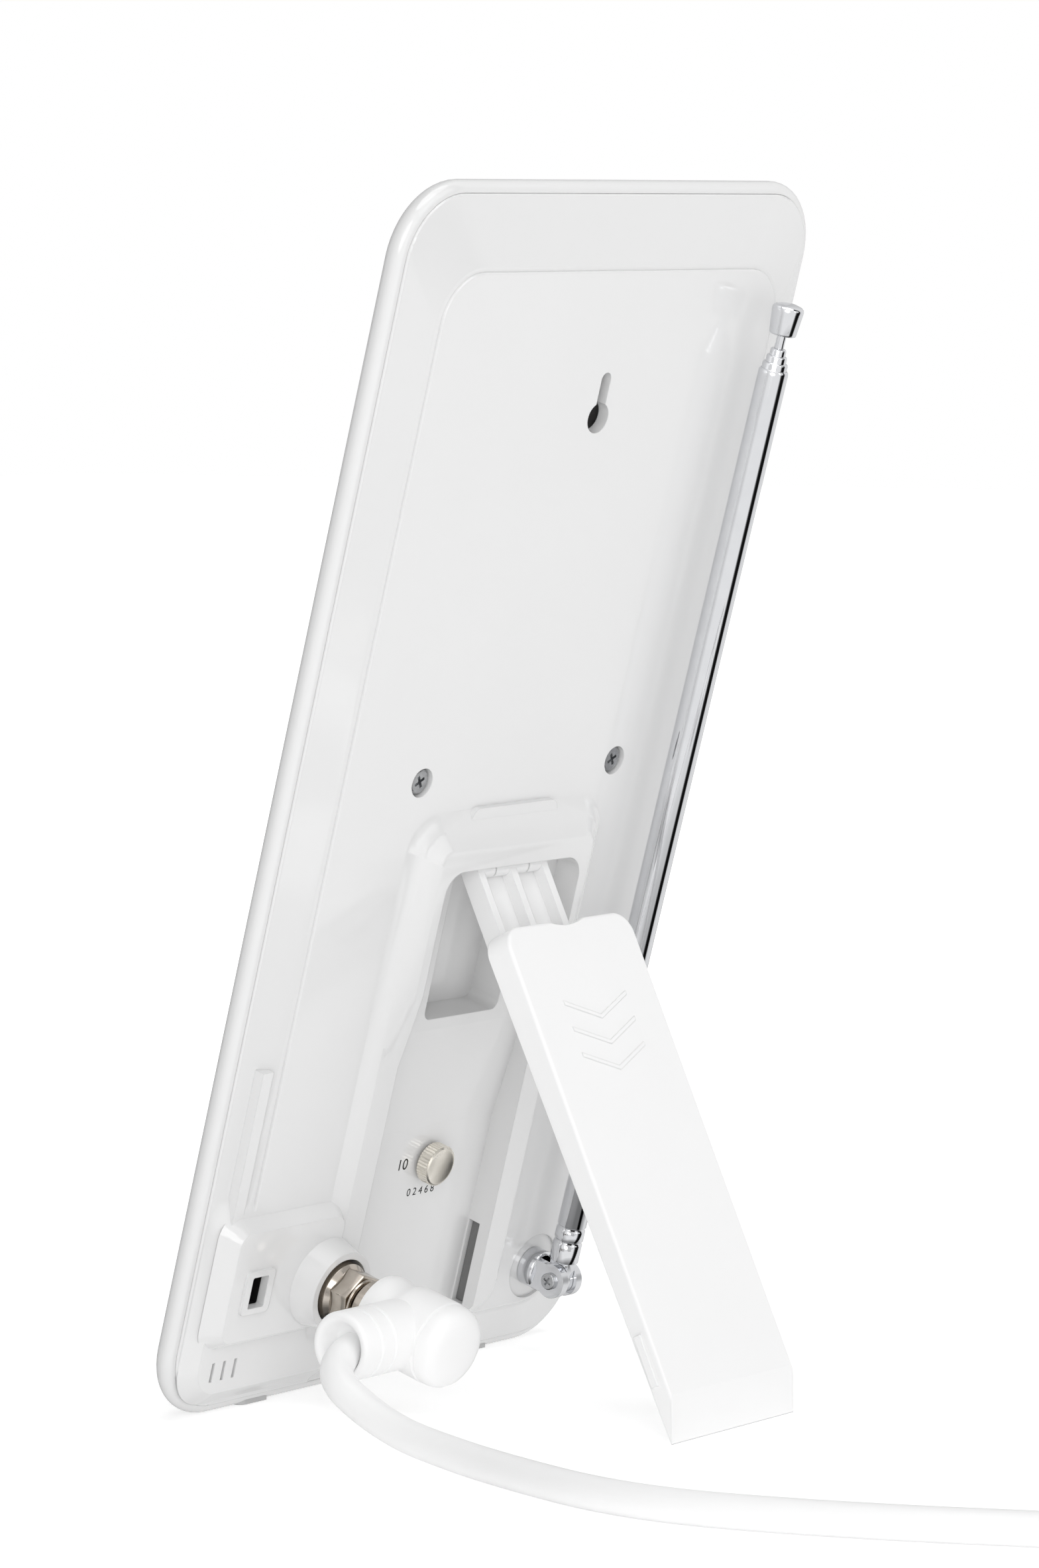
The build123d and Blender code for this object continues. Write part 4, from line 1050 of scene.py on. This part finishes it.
@dataclass
class Stand:
    """The folding stand: arm and sliding leg, whose head reaches a little further up the arm."""

    hinge_x: float = 1.5
    hinge_v: float = 127.0
    hinge_w: float = -1.0
    lean: float = 24.75
    head_zone: float = 34.6
    head_lift: float = 2.5

    def build(self, finishes: Finishes) -> None:
        """Dress the arm and the leg."""
        smooth_copy("stand_arm", "ribbed_arm", finishes.satin_abs, "arm")
        leg = smooth_copy("stand_leg", "stand_leg_shell", finishes.satin_abs, "leg")
        hinge = LEAN.at(self.hinge_x, self.hinge_v, self.hinge_w) * MM
        down = Vector((0.0, sin(radians(self.lean)), -cos(radians(self.lean))))
        for vert in leg.data.vertices:
            if (vert.co - hinge).dot(down) < self.head_zone * MM:
                vert.co -= down * self.head_lift * MM


@dataclass
class Rod:
    """The telescopic rod with its fork, stages and cap."""

    pin_x: float = 44.8
    pin_v: float = 20.6
    pin_w: float = 11.8
    tilt: float = 0.75
    radii: tuple[float, ...] = (3.2, 2.7, 2.2, 1.7)
    tip_radius: float = 1.0
    wall: float = 0.4
    start: float = 4.7
    end: float = 207.6
    crimps: tuple[float, ...] = (4.2, 7.4)
    crimp_depth: float = 0.26
    crimp_steps: int = 8
    guide_start: float = 11.0
    guide_step: float = 2.0
    stage_step: float = 1.5

    def matrix(self) -> Matrix:
        """Matrix of the rod's own frame: z along the rod, x out of the housing."""
        along = LEAN.up * cos(radians(self.tilt)) + LEAN.across * sin(radians(self.tilt))
        return placed(LEAN.at(self.pin_x, self.pin_v, self.pin_w), LEAN.out, along)

    def build_fork(self, finishes: Finishes) -> None:
        """Dress the fork, its clip, its screw and the tang."""
        smooth_copy("rod_knuckle", "rod_fork", finishes.chrome, "knuckle")
        dress("post_clip", finishes.zinc)
        smooth_copy("knuckle_screw", "fork_screw", finishes.zinc, "knuckle")
        smooth_copy("rod_tang", "flat_tang", finishes.chrome, "tube")

    def build_outer_tube(self, finishes: Finishes) -> None:
        """Make the outer tube with its two crimps and rolled mouth, and black dots of painted shade
        in the crimps.
        """
        r = self.radii[0]
        bore = r - self.wall
        end = self.end
        profile: Profile = [(bore, self.start), (r - 0.1, self.start), (r, self.start + 0.15)]
        for crimp in self.crimps:
            low = self.start + crimp
            for step in range(self.crimp_steps + 1):
                share = step / self.crimp_steps
                profile.append((r - self.crimp_depth * sin(pi * share), low + share))
        profile += [(r, end - 0.9), (r - 0.08, end - 0.35), (r - 0.35, end)]
        profile += [(2.76, end), (2.76, end - 1.0), (bore, end - 1.6)]
        bm = turned(profile, self.matrix(), steps=96, closed=True)
        mesh = closed_mesh("outer_tube", bm, 40.0)
        tube = piece("outer_tube", mesh, finishes.chrome, "tube")
        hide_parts("rod_stage_1")
        # Black dots at the bottom of the crimps are painted shade of the dimples
        dot: Profile = [(0.0, 0.0), (0.42, 0.0), (0.5, 0.06), (0.0, 0.06)]
        sideways = self.matrix() @ Matrix.Rotation(radians(-45), 4, "Z")
        outward = Matrix.Rotation(radians(90), 4, "Y")
        dots = []
        for crimp in self.crimps:
            at = Matrix.Translation((r - self.crimp_depth, 0, self.start + crimp + 0.5))
            dots.append(turned(dot, sideways @ at @ outward, steps=24))
        mesh = closed_mesh("crimp_shade_dots", joined(dots))
        piece("crimp_shade_dots", mesh, finishes.black_phenolic_and_crimp_shade, "tube")

    def build_stages(self, finishes: Finishes) -> None:
        """Make the three inner tubes, each on its own body."""
        for number in (1, 2, 3):
            r = self.radii[number]
            low = self.start + self.guide_start + self.guide_step * number
            high = self.end + self.stage_step * number
            bore = r - self.wall
            next_radius = self.radii[number + 1] if number < 3 else self.tip_radius
            mouth = next_radius + 0.04
            profile = [(bore, low), (r + 0.07, low), (r + 0.07, low + 5.0), (r, low + 5.6)]
            profile += [(r, high - 0.5), (r - 0.1, high - 0.15), (r - 0.3, high)]
            profile += [(mouth, high), (mouth, high - 1.0), (bore, high - 1.6)]
            bm = turned(profile, self.matrix(), steps=72, closed=True)
            name = f"inner_tube_{number}"
            made = piece(
                name, closed_mesh(name, bm, 40.0), finishes.chrome, f"stage_{number + 1}"
            )
            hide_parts(f"rod_stage_{number + 1}")

    def build_tip(self, finishes: Finishes) -> None:
        """Make the thin rod and its turned cap."""
        r = self.tip_radius
        cap = self.end + 3 * self.stage_step + 3.0
        seat = cap + 3.5
        foot = self.start + self.guide_start + 4 * self.guide_step
        profile: Profile = [(0.0, foot), (1.27, foot), (1.27, foot + 5.0), (r, foot + 5.6)]
        profile += [(r, seat), (0.0, seat)]
        mesh = closed_mesh("thin_rod", turned(profile, self.matrix(), steps=48), 40.0)
        made = piece("thin_rod", mesh, finishes.chrome, "tip")
        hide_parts("rod_tip")
        profile = [
            (r, cap),
            (2.6, cap),
            (2.84, cap + 0.12),
            (2.92, cap + 0.4),
            (3.38, cap + 5.0),
            (3.4, cap + 5.5),
            (3.28, cap + 5.9),
            (2.9, cap + 6.25),
            (1.8, cap + 6.6),
            (0.8, cap + 6.75),
            (0.0, cap + 6.8),
            (0.0, seat),
            (r, seat),
        ]
        bm = turned(profile, self.matrix(), steps=96, closed=True)
        mesh = closed_mesh("rod_cap_turned", bm, 50.0)
        made = piece("rod_cap_turned", mesh, finishes.chrome, "tip")
        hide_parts("rod_cap")

    def build(self, finishes: Finishes) -> None:
        """Build the whole rod."""
        self.build_fork(finishes)
        self.build_outer_tube(finishes)
        self.build_stages(finishes)
        self.build_tip(finishes)


@dataclass
class Plug:
    """The right-angle plug: nut, ferrule and the white moulding."""

    branch_radius: float = 7.3
    ring_depth: float = 0.42
    flats: float = 11.0
    hexagon_turn: float = 12.0

    def matrix(self) -> Matrix:
        """Matrix of the plug's own frame: z out of the housing."""
        return LEAN.matrix(SOCKET_X, SOCKET_V, 0.0)

    def build_nut(self, finishes: Finishes) -> bpy.types.Object:
        """Make the coupling nut: round skirt, hexagon and lip."""
        skirt = [
            (4.75, 9.6), (5.9, 9.6), (6.3, 9.9), (6.45, 10.4), (6.45, 11.0), (6.25, 11.2),
            (6.25, 11.5), (6.45, 11.7), (6.45, 13.2), (6.1, 13.6), (5.6, 14.2), (4.75, 14.2),
        ]
        lip = [
            (3.56, 15.6), (5.2, 15.6), (5.2, 18.5), (5.0, 18.9), (4.6, 19.1), (3.56, 19.1),
        ]
        shapes = [
            turned(skirt, self.matrix(), steps=96, closed=True),
            hexagon(self.flats, 13.9, 18.6, self.hexagon_turn, self.matrix()),
            turned(lip, self.matrix(), steps=96, closed=True),
        ]
        mesh = closed_mesh("coupling_nut_turned", joined(shapes), 30.0)
        made = piece("coupling_nut_turned", mesh, finishes.nickel, "nut")
        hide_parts("coupling_nut")
        return made

    def build_ferrule(self, finishes: Finishes) -> bpy.types.Object:
        """Make the ferrule with its groove and collar."""
        profile = [
            (1.2, 15.05), (4.2, 15.05), (4.2, 15.5), (3.5, 15.5), (3.5, 19.4), (4.4, 19.45),
            (4.4, 19.9), (5.3, 20.0), (5.6, 20.3), (5.6, 22.6), (5.4, 22.9), (3.5, 22.95),
            (3.5, 30.0), (1.2, 30.0),
        ]
        mesh = closed_mesh("ferrule", turned(profile, self.matrix(), steps=96, closed=True), 30.0)
        made = piece("ferrule", mesh, finishes.nickel, "housing")
        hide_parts("plug_ferrule")
        dress("plug_pin", finishes.polyethylene)
        return made

    def build_moulding(self, finishes: Finishes) -> bpy.types.Object:
        """Make the white moulding: barrel with a waist, and the branch with its rings."""
        barrel = [
            (3.5, 22.95), (7.0, 22.95), (8.1, 23.6), (8.45, 24.6), (8.45, 26.0), (8.2, 27.2),
            (7.92, 28.6), (8.0, 29.8), (8.6, 30.9), (8.95, 32.0), (9.0, 33.5), (9.0, 40.4),
            (8.85, 40.55), (8.55, 40.75), (8.55, 41.0), (8.9, 41.25), (8.85, 42.2),
            (8.5, 43.6), (7.7, 44.7), (6.2, 45.3), (3.5, 45.55), (0.0, 45.6),
            (0.0, 30.0), (3.5, 30.0),
        ]
        r = self.branch_radius
        ring = r - self.ring_depth
        far = BRANCH_REACH
        branch: Profile = [(0.0, 0.0), (r, 0.0)]
        for low in (far - 9.6, far - 5.4):
            branch += [(r, low - 0.15), (ring, low + 0.1), (ring, low + 0.7), (r, low + 0.95)]
        branch += [
            (r, far - 1.0), (r - 0.2, far - 0.4), (r - 0.65, far - 0.05), (r - 1.2, far),
            (r - 1.7, far - 0.3), (r - 2.2, far - 1.2), (r - 2.9, far - 2.6),
            (3.9, far - 3.4), (3.4, far - 3.6), (0.0, far - 3.6),
        ]
        axis_at = LEAN.at(SOCKET_X, SOCKET_V, BRANCH_W)
        side = placed(axis_at, LEAN.out, Vector((1.0, 0.0, 0.0)))
        shapes = [
            turned(barrel, self.matrix(), steps=128, closed=True),
            turned(branch, side, steps=128),
        ]
        mesh = closed_mesh("plug_moulding", joined(shapes), 40.0)
        made = piece("plug_moulding", mesh, finishes.soft_pvc, "housing")
        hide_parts("plug_elbow")
        return made

    def build(self, finishes: Finishes) -> list:
        """Build the plug and return its pieces."""
        return [
            self.build_nut(finishes),
            self.build_ferrule(finishes),
            self.build_moulding(finishes),
        ]


@dataclass
class FarPlug:
    """The straight plug on the far end of the cable, and the tie of the coil."""

    end: Point = (0.8, 253.8, 6.4009)
    heading: Point = (-0.867015, 0.498284, 0.0)
    rings: int = 3
    ring_pitch: float = 2.4

    def matrix(self) -> Matrix:
        """Matrix of the plug's own frame: z towards its mouth."""
        return placed(Vector(self.end), Vector((0.0, 0.0, 1.0)), Vector(self.heading))

    def build(self, finishes: Finishes) -> list:
        """Build the sleeve, the nut and the tie, and return the pieces."""
        sleeve: Profile = [(3.0, 0.0), (4.3, 0.2), (4.7, 1.4), (5.1, 3.4), (5.2, 4.2)]
        for ring in range(self.rings):
            low = 6.0 + self.ring_pitch * ring
            sleeve += [(5.2, low), (4.9, low + 0.15), (4.9, low + 0.75), (5.2, low + 0.9)]
        sleeve += [(5.2, 16.4), (5.0, 16.9), (3.5, 17.0), (3.5, 23.0)]
        sleeve += [(0.45, 23.0), (0.45, 28.0), (0.0, 28.2)]
        mesh = closed_mesh("far_sleeve", turned(sleeve, self.matrix(), steps=96), 40.0)
        body = piece("far_sleeve", mesh, finishes.soft_pvc, "housing")
        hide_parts("far_plug")
        nut = smooth_copy("far_nut", "far_coupling_nut", finishes.nickel, "end_nut")
        smooth_copy("cable_tie", "coil_tie", finishes.satin_abs, "housing")
        return [body, nut]


def main() -> None:
    """Build the studio and the antenna, and report each piece."""
    logging.basicConfig(level=logging.INFO, format="%(name)s %(message)s")
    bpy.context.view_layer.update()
    Studio().build()
    finishes = Finishes()
    near = Plug().build(finishes)
    far = FarPlug().build(finishes)
    Cable().build(finishes, near + far)
    Housing().build(finishes)
    GainKnob().build(finishes)
    Stand().build(finishes)
    Rod().build(finishes)


if __name__ == "__main__":
    main()
